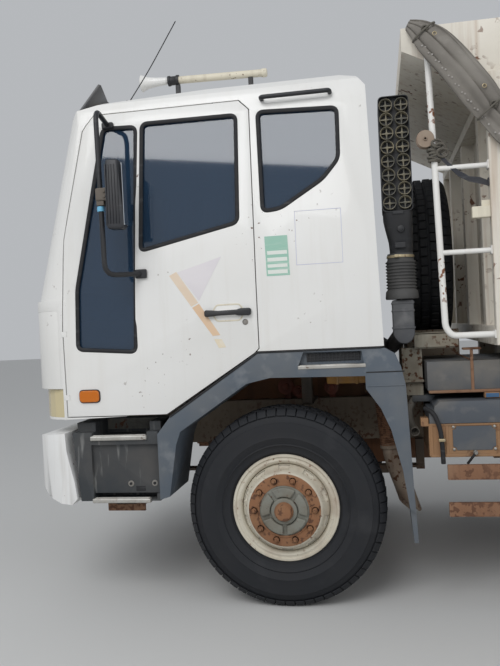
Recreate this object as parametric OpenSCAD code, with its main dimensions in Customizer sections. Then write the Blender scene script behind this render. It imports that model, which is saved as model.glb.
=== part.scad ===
/*
  Three-axle tipper truck, full size, in millimetres.
  +X is forward, +Y is the truck's left, +Z is up.
  The origin is on the ground at the middle of the truck's length and width.
  Cab and front pieces are drawn from the front axle: x = 0 there is the wheel centre.
*/

/* [Overall] */
// Width over the cab and the load body
overall_w = 2490; // [2400:10:2550]
// Bumper face ahead of the front axle
front_overhang = 1550; // [1500:10:1650]
// Front axle to the first rear axle
wheelbase = 3300; // [3200:10:3600]
// Distance between the two rear axles
bogie_spacing = 1350; // [1300:10:1400]
// Last axle to the tailgate's face
rear_overhang = 1600; // [1500:10:1800]

/* [Wheels] */
// Outer diameter of every tyre
tyre_d = 1100; // [1060:5:1130]
// Width of every tyre
tyre_w = 300; // [280:2:310]
// Diameter over the rim flanges
flange_d = 594; // [580:1:600]
// Diameter of the bead seat
rim_d = 508; // [500:1:514]
// Width of the rim over its flanges
rim_w = 236; // [226:2:240]
// Distance between the middles of twin tyres
twin_spacing = 330; // [320:2:345]
// Thickness of the wheel disc
disc_t = 14; // [10:1:18]
// Bore of the wheel disc
disc_bore_d = 281; // [270:1:284]
// Pitch circle of the wheel nuts
nut_circle_d = 335; // [330:1:340]
// Nuts on each wheel
nut_count = 10; // [8:1:12]
// Front tyre's outer face from the centre line
front_tyre_face = 1195; // [1185:1:1200]
// Outer rear tyre's outer face from the centre line
rear_tyre_face = 1240; // [1220:1:1245]

/* [Frame] */
// Width over the frame rails
frame_w = 800; // [760:10:840]
// Height of a frame rail
rail_h = 270; // [240:5:290]
// Flange width of a frame rail
rail_flange = 85; // [75:1:95]
// Thickness of a frame rail
rail_t = 9; // [7:1:12]
// Top of the frame above the ground
frame_top = 1070; // [1050:5:1090]
// Height of the tipping subframe on the rails
subframe_h = 120; // [90:5:130]

/* [Cab] */
// Thickness of the cab's walls and doors
wall_t = 52; // [40:1:60]
// Gap round a door
door_gap = 6; // [5:0.5:9]
// Thickness of a window pane
glass_t = 8; // [5:0.5:12]
// Depth of a pane behind the panel's face
glass_inset = 14; // [8:1:24]
// Half width of the engine tunnel
tunnel_half_w = 440; // [400:5:460]
// Rise of the engine tunnel over the cab's underside
tunnel_rise = 117; // [80:5:160]

/* [Load body] */
// Top of the load floor
floor_top = 1480; // [1460:5:1500]
// Top of the body's sides
side_top = 2800; // [2600:10:2850]
// Thickness of the body's sheets
sheet_t = 10; // [6:1:14]
// Depth of the posts on the sides
post_d = 55; // [40:1:60]
// Width of the posts
post_w = 90; // [70:1:110]
// Front face of the body's corner post behind the front axle
body_front_back = 1143; // [1130:1:1200]
// Top of the canopy
canopy_top = 3084; // [3040:2:3100]
// Lip of the canopy behind the front axle
lip_back = 735; // [725:1:760]
// Full tip of the load body, in degrees
tip_angle = 50; // [45:1:52]

/* [Hidden] */
$fn = 48;

// Places along the truck
half_len = (front_overhang + wheelbase + bogie_spacing + rear_overhang) / 2;
half_w = overall_w / 2;
front_axle_x = half_len - front_overhang;
rear_axle_x = [front_axle_x - wheelbase, front_axle_x - wheelbase - bogie_spacing];
bogie_x = (rear_axle_x[0] + rear_axle_x[1]) / 2;
wheel_z = tyre_d / 2;
front_wheel_y = front_tyre_face - tyre_w / 2;
rear_wheel_y = [rear_tyre_face - tyre_w / 2, rear_tyre_face - tyre_w / 2 - twin_spacing];
rear_disc_y = (rear_wheel_y[0] + rear_wheel_y[1]) / 2;
clear = 0.3;

// Frame
rail_y = frame_w / 2;
rail_bottom = frame_top - rail_h;
subframe_top = frame_top + subframe_h;
frame_front_x = front_axle_x + 1330;
frame_back_x = -half_len + 670;
hinge_x = frame_back_x - 100;
hinge_z = subframe_top + 60;

// Cab: foot of its back, underside over the engine and ahead of the front wheels
cab_back_foot = -573;
cab_under = 1423;
cab_low = 1097;
tunnel_top = cab_under + tunnel_rise;

// Steering
kingpin_y = 900;
arm_back = 210;
arm_z = wheel_z - 80;
kingpin_r = 24;
stub_r = 40;

// Load body
body_front_x = front_axle_x - body_front_back;
body_back_x = -half_len;
bearer_h = 90;
floor_under = floor_top - sheet_t;
beam_top = floor_under - bearer_h;
beam_under = subframe_top + 10;
beam_y = rail_y;
beam_w = 80;
gate_t = 75;
gate_pin_r = 20;
gate_hinge_z = side_top - 60;
gate_hinge_x = body_back_x + gate_t / 2;

// Hoist: three stages under the floor between the rear axles
hoist_x = bogie_x - 60;
trunnion_z = 960;
trunnion_r = 30;
eye_z = beam_top - 62;
eye_arm = [hoist_x - hinge_x, eye_z - hinge_z];
eye_tipped = [hinge_x, hinge_z] + [
  eye_arm[0] * cos(tip_angle) - eye_arm[1] * sin(tip_angle),
  eye_arm[0] * sin(tip_angle) + eye_arm[1] * cos(tip_angle)];
hoist_closed = eye_z - trunnion_z;
hoist_open = norm(eye_tipped - [hoist_x, trunnion_z]);
stage_stroke = (hoist_open - hoist_closed) / 3;
barrel_foot = 230;
hoist_r = [105, 88, 72, 56];

/* Shared shapes */
function unit(v) = v / norm(v);
// A counter-clockwise outline moved inwards by d, with mitred corners
function inset(p, d) = [
  for (i = [0 : len(p) - 1])
    let (n = len(p), u = unit(p[i] - p[(i + n - 1) % n]), v = unit(p[(i + 1) % n] - p[i]),
         nu = [-u[1], u[0]], nv = [-v[1], v[0]])
      p[i] + d * (nu + nv) / (1 + nu * nv)];
// Points of an arc about a centre
function arc(c, r, a0, a1, n) = [for (i = [0 : n]) let (a = a0 + (a1 - a0) * i / n) c + r * [cos(a), sin(a)]];
function flip(p) = [for (i = [len(p) - 1 : -1 : 0]) p[i]];
function mirror_y(p) = [for (q = flip(p)) [q[0], -q[1]]];

module block(lo, hi) { translate(lo) cube(hi - lo); }
// Outline of x and z, pushed from y0 to y1
module side_plate(p, y0, y1) { translate([0, y1, 0]) rotate([90, 0, 0]) linear_extrude(y1 - y0) polygon(p); }
// Outline of y and z, pushed from x0 to x1
module front_plate(p, x0, x1) { translate([x0, 0, 0]) rotate([90, 0, 90]) linear_extrude(x1 - x0) polygon(p); }
module both() { children(); mirror([0, 1, 0]) children(); }
module at_front() { translate([front_axle_x, 0, 0]) children(); }
// Round bar from a to b
module bar(a, b, r) {
  d = b - a;
  translate(a) rotate([0, acos(d[2] / norm(d)), atan2(d[1], d[0])]) cylinder(h = norm(d), r = r);
}
// Revolved outline of radius and distance along +Y
module turned(p) { rotate([-90, 0, 0]) rotate_extrude() polygon(p); }
module y_cylinder(r, y0, y1) { translate([0, y0, 0]) rotate([-90, 0, 0]) cylinder(h = y1 - y0, r = r); }

/* Wheels */
tyre_r = tyre_d / 2;
flange_r = flange_d / 2;
seat_r = rim_d / 2;
bead_h = rim_w / 2 - 12;
// Half outline of a tyre: radius, distance from its middle
tyre_half = [
  [seat_r + clear, bead_h - 5], [flange_r + clear, bead_h - 1], [flange_r + 3, bead_h + 2], [flange_r + 12, bead_h + 16],
  [tyre_r - 165, tyre_w / 2 - 4], [tyre_r - 120, tyre_w / 2], [tyre_r - 75, tyre_w / 2 - 5],
  [tyre_r - 30, tyre_w / 2 - 20], [tyre_r - 6, tyre_w / 2 - 40], [tyre_r, tyre_w / 2 - 62]];
module tyre(y) {
  profile = concat(tyre_half, flip([for (q = tyre_half) [q[0], -q[1]]]));
  translate([0, y, wheel_z]) turned(profile);
}
// Rim with its disc facing outwards: side = 1 for a disc towards +Y
module rim(y, side) {
  inner_r = seat_r - 10;
  disc_face = twin_spacing / 2;
  barrel = [
    [inner_r, -rim_w / 2], [flange_r, -rim_w / 2], [flange_r, -bead_h], [seat_r, -bead_h + 4],
    [seat_r, bead_h - 4], [flange_r, bead_h], [flange_r, rim_w / 2], [inner_r, rim_w / 2]];
  disc = [
    [disc_bore_d / 2, disc_face - disc_t], [200, disc_face - disc_t], [inner_r - 4, 70], [inner_r + 1, 70],
    [inner_r + 1, 92], [210, disc_face], [disc_bore_d / 2, disc_face]];
  translate([0, y, wheel_z]) mirror([0, side > 0 ? 0 : 1, 0]) difference() {
    union() { turned(barrel); turned(disc); }
    for (i = [0 : nut_count - 1]) rotate([0, (i + 0.5) * 360 / nut_count, 0])
      translate([225, 0, 0]) y_cylinder(17, 60, disc_face + 10);
  }
}
module nuts(y0, y1) {
  for (i = [0 : nut_count - 1]) rotate([0, i * 360 / nut_count, 0])
    translate([nut_circle_d / 2, 0, 0]) rotate([-90, 0, 0]) translate([0, 0, y0]) cylinder(h = y1 - y0, r = 15, $fn = 6);
}
module front_rim_left() {
  face = front_wheel_y + twin_spacing / 2;
  rim(front_wheel_y, 1);
  translate([0, 0, wheel_z]) {
    // hub with its bore for the stub axle, closed by a cap
    turned([
      [stub_r + clear, 985], [110, 985], [110, face - disc_t - 12], [200, face - disc_t - 12], [200, face - disc_t],
      [disc_bore_d / 2, face - disc_t], [disc_bore_d / 2, face + 4], [112, face + 18], [100, face + 34], [50, face + 34],
      [50, face + 62], [42, face + 72], [0, face + 72], [0, face + 20], [stub_r + clear, face + 20]]);
    // brake drum
    turned([[190, 965], [205, 965], [205, 1090], [110, 1105], [110, 1090], [190, 1075]]);
    nuts(face, face + 26);
  }
}
module rear_rims_left() {
  rim(rear_wheel_y[0], -1);
  rim(rear_wheel_y[1], 1);
  translate([0, 0, wheel_z]) {
    turned([
      [stub_r + clear + 10, 700], [115, 700], [115, rear_disc_y - disc_t - 30], [200, rear_disc_y - disc_t - 30],
      [200, rear_disc_y - disc_t], [disc_bore_d / 2, rear_disc_y - disc_t], [disc_bore_d / 2, rear_disc_y + 20],
      [125, rear_disc_y + 50], [125, rear_disc_y + 180], [110, rear_disc_y + 195], [0, rear_disc_y + 195],
      [0, rear_disc_y + 150], [stub_r + clear + 10, rear_disc_y + 150]]);
    turned([[190, 640], [205, 640], [205, 850], [115, 862], [115, 848], [190, 836]]);
    nuts(rear_disc_y + disc_t, rear_disc_y + disc_t + 30);
  }
}
module tyre_front_left() { color("#1d2024") at_front() tyre(front_wheel_y); }
module tyre_front_right() { color("#1d2024") mirror([0, 1, 0]) at_front() tyre(front_wheel_y); }
module rim_front_left() { color("#d8d2c2") at_front() front_rim_left(); }
module rim_front_right() { color("#d8d2c2") mirror([0, 1, 0]) at_front() front_rim_left(); }
module rear_tyres(axle) { translate([rear_axle_x[axle], 0, 0]) for (y = rear_wheel_y) tyre(y); }
module tyres_rear_1_left() { color("#1d2024") rear_tyres(0); }
module tyres_rear_1_right() { color("#1d2024") mirror([0, 1, 0]) rear_tyres(0); }
module tyres_rear_2_left() { color("#1d2024") rear_tyres(1); }
module tyres_rear_2_right() { color("#1d2024") mirror([0, 1, 0]) rear_tyres(1); }
module rims_rear_1_left() { color("#d8d2c2") translate([rear_axle_x[0], 0, 0]) rear_rims_left(); }
module rims_rear_1_right() { color("#d8d2c2") mirror([0, 1, 0]) translate([rear_axle_x[0], 0, 0]) rear_rims_left(); }
module rims_rear_2_left() { color("#d8d2c2") translate([rear_axle_x[1], 0, 0]) rear_rims_left(); }
module rims_rear_2_right() { color("#d8d2c2") mirror([0, 1, 0]) translate([rear_axle_x[1], 0, 0]) rear_rims_left(); }

/* Front axle and steering */
beam_half = kingpin_y - 70;
module front_axle() {
  spring_y = rail_y + 10;
  color("#3a3431") at_front() {
    difference() {
      union() {
        // dropped beam between the kingpins
        front_plate([
          [-beam_half, wheel_z - 45], [-beam_half + 90, wheel_z - 55], [-560, wheel_z - 130], [560, wheel_z - 130],
          [beam_half - 90, wheel_z - 55], [beam_half, wheel_z - 45], [beam_half, wheel_z + 45],
          [beam_half - 60, wheel_z + 40], [540, wheel_z - 35], [-540, wheel_z - 35],
          [-beam_half + 60, wheel_z + 40], [-beam_half, wheel_z + 45]], -45, 45);
        both() translate([0, kingpin_y, wheel_z - 55]) cylinder(h = 110, r = 50);
        both() block([-40, beam_half - 5, wheel_z - 45], [40, kingpin_y - 40, wheel_z + 45]);
        // leaf springs, clamped on the beam
        both() for (leaf = [0 : 5]) let (half = 780 - leaf * 105, z0 = wheel_z + 70 - leaf * 16)
          block([-half, spring_y - 40, z0], [half, spring_y + 40, z0 + 16]);
        both() block([-110, spring_y - 50, wheel_z - 40], [110, spring_y + 50, wheel_z + 100]);
        // hangers up to the rails
        both() for (s = [-1, 1]) block([s * 770 - 25, spring_y - 35, wheel_z + 60], [s * 770 + 25, spring_y + 35, rail_bottom - clear]);
      }
      both() translate([0, kingpin_y, wheel_z - 60]) cylinder(h = 120, r = kingpin_r + clear);
    }
  }
}
module knuckle() {
  translate([0, kingpin_y, wheel_z]) {
    translate([0, 0, -100]) cylinder(h = 200, r = kingpin_r);
    for (s = [-1, 1]) translate([0, 0, s * 80 - 20]) cylinder(h = 40, r = 48);
    difference() {
      union() {
        block([-50, 55, -100], [50, 82, 100]);
        for (s = [-1, 1]) block([-40, 0, s * 80 - 20], [40, 60, s * 80 + 20]);
        y_cylinder(stub_r + 20, 70, 84);
        y_cylinder(stub_r, 80, 285);
      }
    }
    // steering arm, straight back to the ball joint
    block([-arm_back - 20, -14, -100], [0, 14, -70]);
  }
}
module knuckle_left() { color("#4a4440") at_front() knuckle(); }
module knuckle_right() { color("#4a4440") mirror([0, 1, 0]) at_front() knuckle(); }
module tie_rod() {
  color("#4a4440") at_front() {
    bar([-arm_back, -kingpin_y, arm_z - 60], [-arm_back, kingpin_y, arm_z - 60], 18);
    both() translate([-arm_back, kingpin_y, arm_z - 60]) {
      sphere(r = 24, $fn = 24);
      cylinder(h = wheel_z - 100 - clear - arm_z + 60, r = 12);
    }
  }
}

/* Frame */
module frame_rails() {
  color("#6b5f52") both() difference() {
    block([frame_back_x, rail_y - rail_flange, rail_bottom], [frame_front_x, rail_y, frame_top]);
    block([frame_back_x - 1, rail_y - rail_flange - 1, rail_bottom + rail_t], [frame_front_x + 1, rail_y - rail_t, frame_top - rail_t]);
  }
}
module cross_beam(x, w = 90, h = 150) {
  inner = rail_y - rail_t;
  block([x - w / 2, -inner, frame_top - rail_t - 20 - h], [x + w / 2, inner, frame_top - rail_t - 20]);
}
module cross_members() {
  color("#5c5148") {
    for (x = [front_axle_x - 1650, bogie_x + 1150, bogie_x + 340, bogie_x - 450]) cross_beam(x);
    // low member under the fan
    block([front_axle_x + 715, -rail_y + rail_t, rail_bottom + rail_t], [front_axle_x + 805, rail_y - rail_t, rail_bottom + 80]);
    cross_beam(frame_back_x + 60, 110, 200);
    // front cross member with the towing jaw
    difference() {
      union() {
        block([frame_front_x - 60, -rail_y + rail_t, rail_bottom + rail_t], [frame_front_x, rail_y - rail_t, frame_top - 20]);
        for (z = [rail_bottom - 10, rail_bottom + 70]) block([frame_front_x - 5, -60, z], [frame_front_x + 130, 60, z + 30]);
      }
      translate([frame_front_x + 80, 0, rail_bottom - 20]) cylinder(h = 140, r = 20);
    }
    // brackets and pins of the cab's tilt
    at_front() both() {
      side_plate([[1180, 1008], [tilt_x + 22, 1008], [tilt_x + 22, 1054], [1180, 1060]], rail_y, 490);
      translate([tilt_x, 0, tilt_z]) y_cylinder(tilt_r - clear, 489, 570);
    }
    // arms that carry the bumper
    at_front() both() intersection() {
      bumper_form(bumper_t + clear);
      block([frame_front_x - front_axle_x - 1, 200, 800], [front_overhang, 300, 900]);
    }
    // bearings of the hoist's trunnions
    both() difference() {
      block([hoist_x - 70, rail_y - rail_t - 60, trunnion_z - 70], [hoist_x + 70, rail_y - rail_t, trunnion_z + 70]);
      translate([hoist_x, 0, trunnion_z]) y_cylinder(trunnion_r + clear, 200, rail_y - rail_t - 5);
    }
    // stand for the spare wheel
    spare_stand();
  }
}
module subframe() {
  color("#7a6f62") {
    both() block([frame_back_x, rail_y - 80, frame_top], [front_axle_x - 1060, rail_y, subframe_top]);
    for (x = [front_axle_x - 1120, bogie_x + 900, bogie_x + 500, bogie_x - 620, frame_back_x + 60])
      block([x - 40, -rail_y + 79, frame_top + 10], [x + 40, rail_y - 79, subframe_top - 10]);
    // hinge ears behind the frame, inside the body's beams
    both() difference() {
      side_plate([
        [hinge_x - 45, hinge_z - 45], [hinge_x + 45, hinge_z - 60], [frame_back_x + 260, frame_top + 5],
        [frame_back_x + 260, subframe_top], [hinge_x + 45, hinge_z + 45], [hinge_x - 45, hinge_z + 45]],
        beam_y - beam_w / 2 - 50, beam_y - beam_w / 2 - 10);
      translate([hinge_x, 0, hinge_z]) y_cylinder(30, beam_y - beam_w / 2 - 60, beam_y - beam_w / 2);
    }
  }
}

/* Rear axles and bogie */
axle_r = 62;
module rear_axles() {
  color("#3a3431") {
    for (x = rear_axle_x) translate([x, 0, wheel_z]) {
      y_cylinder(axle_r, -700, 700);
      both() y_cylinder(stub_r + 10, 600, rear_disc_y + 130);
      both() translate([0, 120, 0]) turned([[0, 0], [150, 0], [axle_r, 200], [0, 200]]);
      translate([-20, 0, 0]) rotate([0, 90, 0]) cylinder(h = 320, r1 = 190, r2 = 70);
      rotate([0, -90, 0]) cylinder(h = 150, r1 = 190, r2 = 110);
    }
    // shafts from the gearbox and between the axles
    bar([front_axle_x - 1560, 0, 800], [rear_axle_x[0] + 290, 0, wheel_z + 20], 55);
    bar([rear_axle_x[0] - 140, 0, wheel_z + 40], [rear_axle_x[1] + 290, 0, wheel_z + 20], 45);
  }
}
bogie_y = rail_y + 80;
spring_z = wheel_z + axle_r + clear;
module bogie_springs() {
  color("#453c35") both() {
    // leaves bow down to the two axles
    for (leaf = [0 : 7]) let (half = bogie_spacing / 2 + 40 - leaf * 75, z0 = spring_z + leaf * 15)
      block([bogie_x - half, bogie_y - 45, z0], [bogie_x + half, bogie_y + 45, z0 + 15]);
    // trunnion and its bracket up to the rail
    difference() {
      block([bogie_x - 90, rail_y + clear, wheel_z + 20], [bogie_x + 90, bogie_y + 60, wheel_z + 230]);
      block([bogie_x - 300, bogie_y - 45, spring_z], [bogie_x + 300, bogie_y + 45, spring_z + 120]);
    }
    side_plate([
      [bogie_x - 90, wheel_z + 60], [bogie_x + 90, wheel_z + 60], [bogie_x + 220, frame_top - 30], [bogie_x - 220, frame_top - 30]],
      rail_y, rail_y + 30);
  }
}

/* Engine and its pipes */
engine_half_w = rail_y - rail_flange - 15;
module engine() {
  color("#8a4a2a") at_front() {
    block([-560, -engine_half_w, rail_bottom - 170], [560, engine_half_w, tunnel_top - 110]);
    block([-1100, -240, 640], [-560, 240, 1040]);
    bar([-1100, 0, 820], [-1540, 0, 800], 150);
    // radiator, behind the grille
    block([960, -engine_half_w, 800], [1060, engine_half_w, frame_top + 10]);
    block([960, -420, frame_top + 8], [1060, 420, tunnel_top - 40]);
    block([560, -200, 900], [960, 200, 1300]);
    // feet on the rails
    both() for (q = [[380, engine_half_w], [-1000, 240]]) block([q[0], q[1] - 1, 960], [q[0] + 100, rail_y - rail_t, 1000]);
  }
}
exhaust_y = half_w - 485;
module exhaust() {
  color("#8c6a50") at_front() {
    difference() {
      union() {
        block([-560, engine_half_w, 1090], [-440, engine_half_w + 24, 1210]);
        bar([-500, engine_half_w + 16, 1150], [-560, exhaust_y, 1140], 58);
        translate([-560, exhaust_y, 1140]) sphere(r = 68, $fn = 32);
        bar([-560, exhaust_y, 1140], [-595, exhaust_y - 8, 860], 66);
        bar([-595, exhaust_y - 8, 860], [-672, exhaust_y - 10, 520], 56);
      }
      bar([-588, exhaust_y - 8, 900], [-684, exhaust_y - 10, 470], 50);
      translate([-680, exhaust_y - 10, 470]) rotate([0, 40, 0]) cube([260, 200, 60], center = true);
    }
  }
}
duct_x = -685;
duct_y = half_w - 205;
bellows_z = 1664;
module intake_duct() {
  color("#2b2f33") at_front() {
    difference() {
      side_plate([
        [duct_x - 57, bellows_z - clear], [duct_x - 57, 1475], [duct_x - 38, 1436], [duct_x - 15, 1424], [duct_x + 15, 1424],
        [duct_x + 38, 1436], [duct_x + 57, 1475], [duct_x + 57, bellows_z - clear]], duct_y - 66, duct_y + 60);
      translate([duct_x, duct_y, 1560]) cylinder(h = 200, r = 54);
    }
    // pipe across to the engine
    bar([duct_x, duct_y - 30, 1490], [duct_x + 65, 185, 1368], 48);
    bar([duct_x + 60, 240, 1376], [-560 - clear, 240, 1376], 40);
  }
}

/* Cab outlines, from the front axle: x, z for the side, counter-clockwise seen from the right */
cab_lean = 14;
cab_nose_x = 1500;
tilt_x = 1400;
tilt_z = 1030;
tilt_r = 16;
// Lower edge, then the front, roof and back
cab_side = [
  [cab_back_foot, cab_under], [104, cab_under], [627, cab_low], [1300, cab_low - 20], [1700, cab_low - 30],
  [1700, 2300], [1250, 2680], [1190, 2770], [1100, 2835], [930, 2868], [345, 2903], [-400, 2903], [-490, 2877],
  [-538, 2815]];
// Plan of the front corners: bowed nose and round corners
function cab_plan(nose) = let (half = concat(
    [[nose, 420], [nose - 22, 860]], arc([nose - 285, half_w - 230], 230, 12, 90, 5)))
  concat([[-1200, half_w]], [[-1200, -half_w]], mirror_y(half), half);
// Front view: straight sides that lean in above the door handles
waist_z = 1800;
eaves_z = 2740;
eaves_in = 40;
cab_front = [
  [-half_w, 900], [half_w, 900], [half_w, waist_z], [half_w - eaves_in, eaves_z], [half_w - 75, 2860], [half_w - 160, 2925],
  [-half_w + 160, 2925], [-half_w + 75, 2860], [-half_w + eaves_in, eaves_z], [-half_w, waist_z]];
// Side face of the cab between the waist and the eaves
function cab_face(z) = half_w - eaves_in * (z - waist_z) / (eaves_z - waist_z);
module cab_form(t) {
  intersection() {
    side_plate(inset(cab_side, t), -half_w - 10, half_w + 10);
    front_plate(inset(cab_front, t), -900, 1800);
    union() {
      translate([0, 0, 1000]) linear_extrude(760) polygon(inset(cab_plan(cab_nose_x), t));
      // above the waist the nose leans back with the windscreen
      intersection() {
        rotate([0, -cab_lean, 0]) linear_extrude(3600)
          polygon(inset(cab_plan(cab_nose_x * cos(cab_lean) + 1700 * sin(cab_lean)), t));
        block([-900, -1400, 1700], [1800, 1400, 3100]);
      }
    }
  }
}
// Side openings: x, z, front edge first
door_line = [
  [1208, cab_low - 1], [1213, 1591], [1185, 2100], [1050, 2709], [985, 2797], [150, 2797], [95, 2740], [95, cab_under + 17],
  [118, cab_under - 7], [627, cab_low - 1]];
door_window = [[735, 2008], [702, 2720], [166, 2717], [179, 2128]];
vent_window = [[1130, 1474], [1117, 1813], [931, 2714], [738, 2707], [788, 1448]];
rear_window = [[45, 2721], [-383, 2704], [-380, 2430], [-291, 2327], [-59, 2186], [39, 2177]];
screen = [[-1000, 1830], [1000, 1830], [960, 2660], [-960, 2660]];
module side_cut(p) { side_plate(p, half_w - 200, half_w + 60); }
// The door's cut stops short of the floor's sill by the wall and a gap
sill_top = cab_under + wall_t + 5;
module door_cut(p, gap) {
  difference() {
    side_cut(p);
    block([0, 600, 900], [1300, half_w - wall_t - gap, sill_top]);
  }
}
// Door hinges: a pin in the door, held by a lug of the pillar
door_axis = [1198, half_w - 6];
door_hinge_z = [1190, 1550];
door_pin_r = 4;
lug_h = 30;
module hinge_lugs() {
  for (z = door_hinge_z) difference() {
    union() {
      translate([door_axis[0], door_axis[1], z]) cylinder(h = lug_h, r = 6);
      block([door_axis[0], door_axis[1] - 6, z], [door_axis[0] + 29, half_w, z + lug_h]);
    }
    translate([door_axis[0], door_axis[1], z - 1]) cylinder(h = lug_h + 2, r = door_pin_r + clear);
  }
}
// Room of the floor inside the walls, up to z over the floor's lower edge
floor_back = cab_back_foot + wall_t + 3.5;
floor_bends = [for (i = [1, 2]) inset(cab_side, wall_t)[i][0]];
module floor_space(rise, gap) {
  intersection() {
    side_plate([
      [floor_back - gap, 800], [1600, 800], [1600, cab_low - 30 + rise], [floor_bends[1], cab_low + rise],
      [floor_bends[0], cab_under + rise], [floor_back - gap, cab_under + rise]], -half_w, half_w);
    translate([0, 0, 800]) linear_extrude(1000) polygon(inset(cab_plan(cab_nose_x), wall_t + clear - gap));
  }
}
module tunnel_hollow() { block([-600, -tunnel_half_w, 900], [1300, tunnel_half_w, tunnel_top - 30]); }
module cab_floor() {
  color("#e9e6df") at_front() difference() {
    union() {
      intersection() {
        cab_form(0);
        union() {
          floor_space(wall_t, 0);
          // engine tunnel and the firewall behind the grille
          block([floor_back, -tunnel_half_w - 30, 1000], [1330, tunnel_half_w + 30, tunnel_top]);
          block([1300, -790, 1000], [1330, 790, firewall_top]);
        }
      }
      // ears down to the tilt pins
      both() block([tilt_x - 25, 500, tilt_z - 25], [tilt_x + 25, 560, cab_low]);
    }
    tunnel_hollow();
    both() translate([tilt_x, 0, tilt_z]) y_cylinder(tilt_r, 480, 580);
    // room for the door's front edge as it swings
    both() block([door_axis[0] - 30, half_w - wall_t - 2, 1000], [door_axis[0] + 40, half_w, sill_top]);
  }
}
front_split = [1245, 1700];
// Below the grille the front is set back, with the lamps at its corners
lamp_x = door_axis[0] + 34;
lamp_z = [1092, 1252];
lamp_y = half_w - 260;
lamp_t = 8;
module front_plan(t) { translate([0, 0, 1000]) linear_extrude(400) polygon(inset(cab_plan(cab_nose_x - 30), 8 + t)); }
module set_back() {
  difference() {
    block([lamp_x, -half_w - 55, 1000], [1700, half_w + 55, lamp_z[1] + 3]);
    front_plan(0);
  }
}
module lamp_space(gap) {
  both() intersection() {
    block([lamp_x + gap, lamp_y + gap, lamp_z[0] + gap], [1700, half_w + 55, lamp_z[1] - gap]);
    difference() { front_plan(-1 + gap); front_plan(lamp_t + 1 - gap); }
  }
}
firewall_top = tunnel_top + 100;
module front_room(gap) { block([front_split[0] - gap, -half_w - 55, 900], [1700, half_w + 55, front_split[1] + gap]); }
module cab_walls() {
  difference() {
    cab_form(0);
    cab_form(wall_t);
    floor_space(wall_t + 10, clear);
  }
}
module cab_front() {
  color("#e9e6df") at_front() difference() {
    intersection() { cab_walls(); front_room(0); }
    front_plate(grille_opening, 1330, 1700);
    set_back();
    lamp_space(0);
  }
}
grille_half = 740;
grille_z = [1170, firewall_top - 40];
grille_opening = [[-grille_half, grille_z[0]], [grille_half, grille_z[0]], [grille_half, grille_z[1]], [-grille_half, grille_z[1]]];
module cab_shell() {
  color("#e9e6df") at_front() {
    difference() {
      cab_walls();
      front_room(clear);
      tunnel_hollow();
      both() door_cut(inset(door_line, -door_gap), door_gap);
      both() side_cut(rear_window);
      front_plate(screen, 1000, 1700);
      set_back();
      lamp_space(0);
    }
    both() hinge_lugs();
  }
}
// Floor over the wheel arch at x
function floor_at(x) = let (d = cab_side[2] - cab_side[1])
  cab_under + (x - cab_side[1][0]) * d[1] / d[0] + (wall_t + 2 * clear) * norm(d) / d[0];
// Back of the cab at height z
function cab_back(z) = cab_back_foot + (z - cab_under) * 35 / 1392;
module glass_in() {
  intersection() {
    difference() { cab_form(glass_inset); cab_form(glass_inset + glass_t); }
    children();
  }
}
module cab_glass() {
  color("#39506b") at_front() {
    glass_in() both() side_cut(inset(rear_window, clear));
    glass_in() front_plate(inset(screen, clear), 1000, 1700);
  }
}
module door() {
  intersection() {
    difference() { cab_form(0); cab_form(wall_t); }
    difference() {
      door_cut(door_line, 0);
      side_cut(door_window);
      side_cut(vent_window);
      block([0, 600, 1600], [420, half_w - wall_t + 8, 1700]);
      for (z = door_hinge_z)
        block([door_axis[0] - 7, door_axis[1] - 8, z - clear], [door_axis[0] + 40, half_w + 10, z + lug_h + clear]);
    }
  }
  for (z = door_hinge_z) translate([door_axis[0], door_axis[1], z - 10]) cylinder(h = lug_h + 20, r = door_pin_r);
  // handle
  block([132, half_w - 4, 1625], [376, half_w + 22, 1655]);
}
module door_left() { color("#e9e6df") at_front() door(); }
module door_right() { color("#e9e6df") mirror([0, 1, 0]) at_front() door(); }
module door_glass() {
  glass_in() side_cut(inset(door_window, clear));
  glass_in() side_cut(inset(vent_window, clear));
}
module door_glass_left() { color("#39506b") at_front() door_glass(); }
module door_glass_right() { color("#39506b") mirror([0, 1, 0]) at_front() door_glass(); }
module mirror_arm() {
  out = half_w + 190;
  bar([900, half_w - 28, 2728], [880, out, 2755], 14);
  bar([880, out, 2755], [872, out, 1870], 14);
  bar([872, out, 1870], [735, half_w + 12, 1880], 14);
  // feet on the door
  for (q = [[865, 2708, eaves_z, -18], [700, 1855, 1905, 16]])
    front_plate([
      [cab_face(q[1]) + clear, q[1]], [half_w + q[3], q[1]], [half_w + q[3], q[2]], [cab_face(q[2]) + clear, q[2]]],
      q[0], q[0] + 65);
  for (q = [[880, 2755], [872, 1870]]) translate([q[0], out, q[1]]) sphere(r = 17, $fn = 24);
  block([735, out - 30, 2105], [840, out + 40, 2480]);
  block([820, out - 22, 2260], [895, out + 22, 2330]);
}
module mirror_left() { color("#17191c") at_front() mirror_arm(); }
module mirror_right() { color("#17191c") mirror([0, 1, 0]) at_front() mirror_arm(); }
module grille() {
  color("#2f3338") at_front() {
    for (z = [grille_z[0] + 10 : 70 : grille_z[1] - 20]) block([1430, clear - grille_half, z], [1470, grille_half - clear, z + 16]);
    for (y = [1 - grille_half, -250, 234, grille_half - 17]) block([1420, y, grille_z[0] + clear], [1445, y + 16, grille_z[1] - clear]);
  }
}
module corner_lamps() {
  color("#c9a86a") at_front() lamp_space(clear);
}
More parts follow.
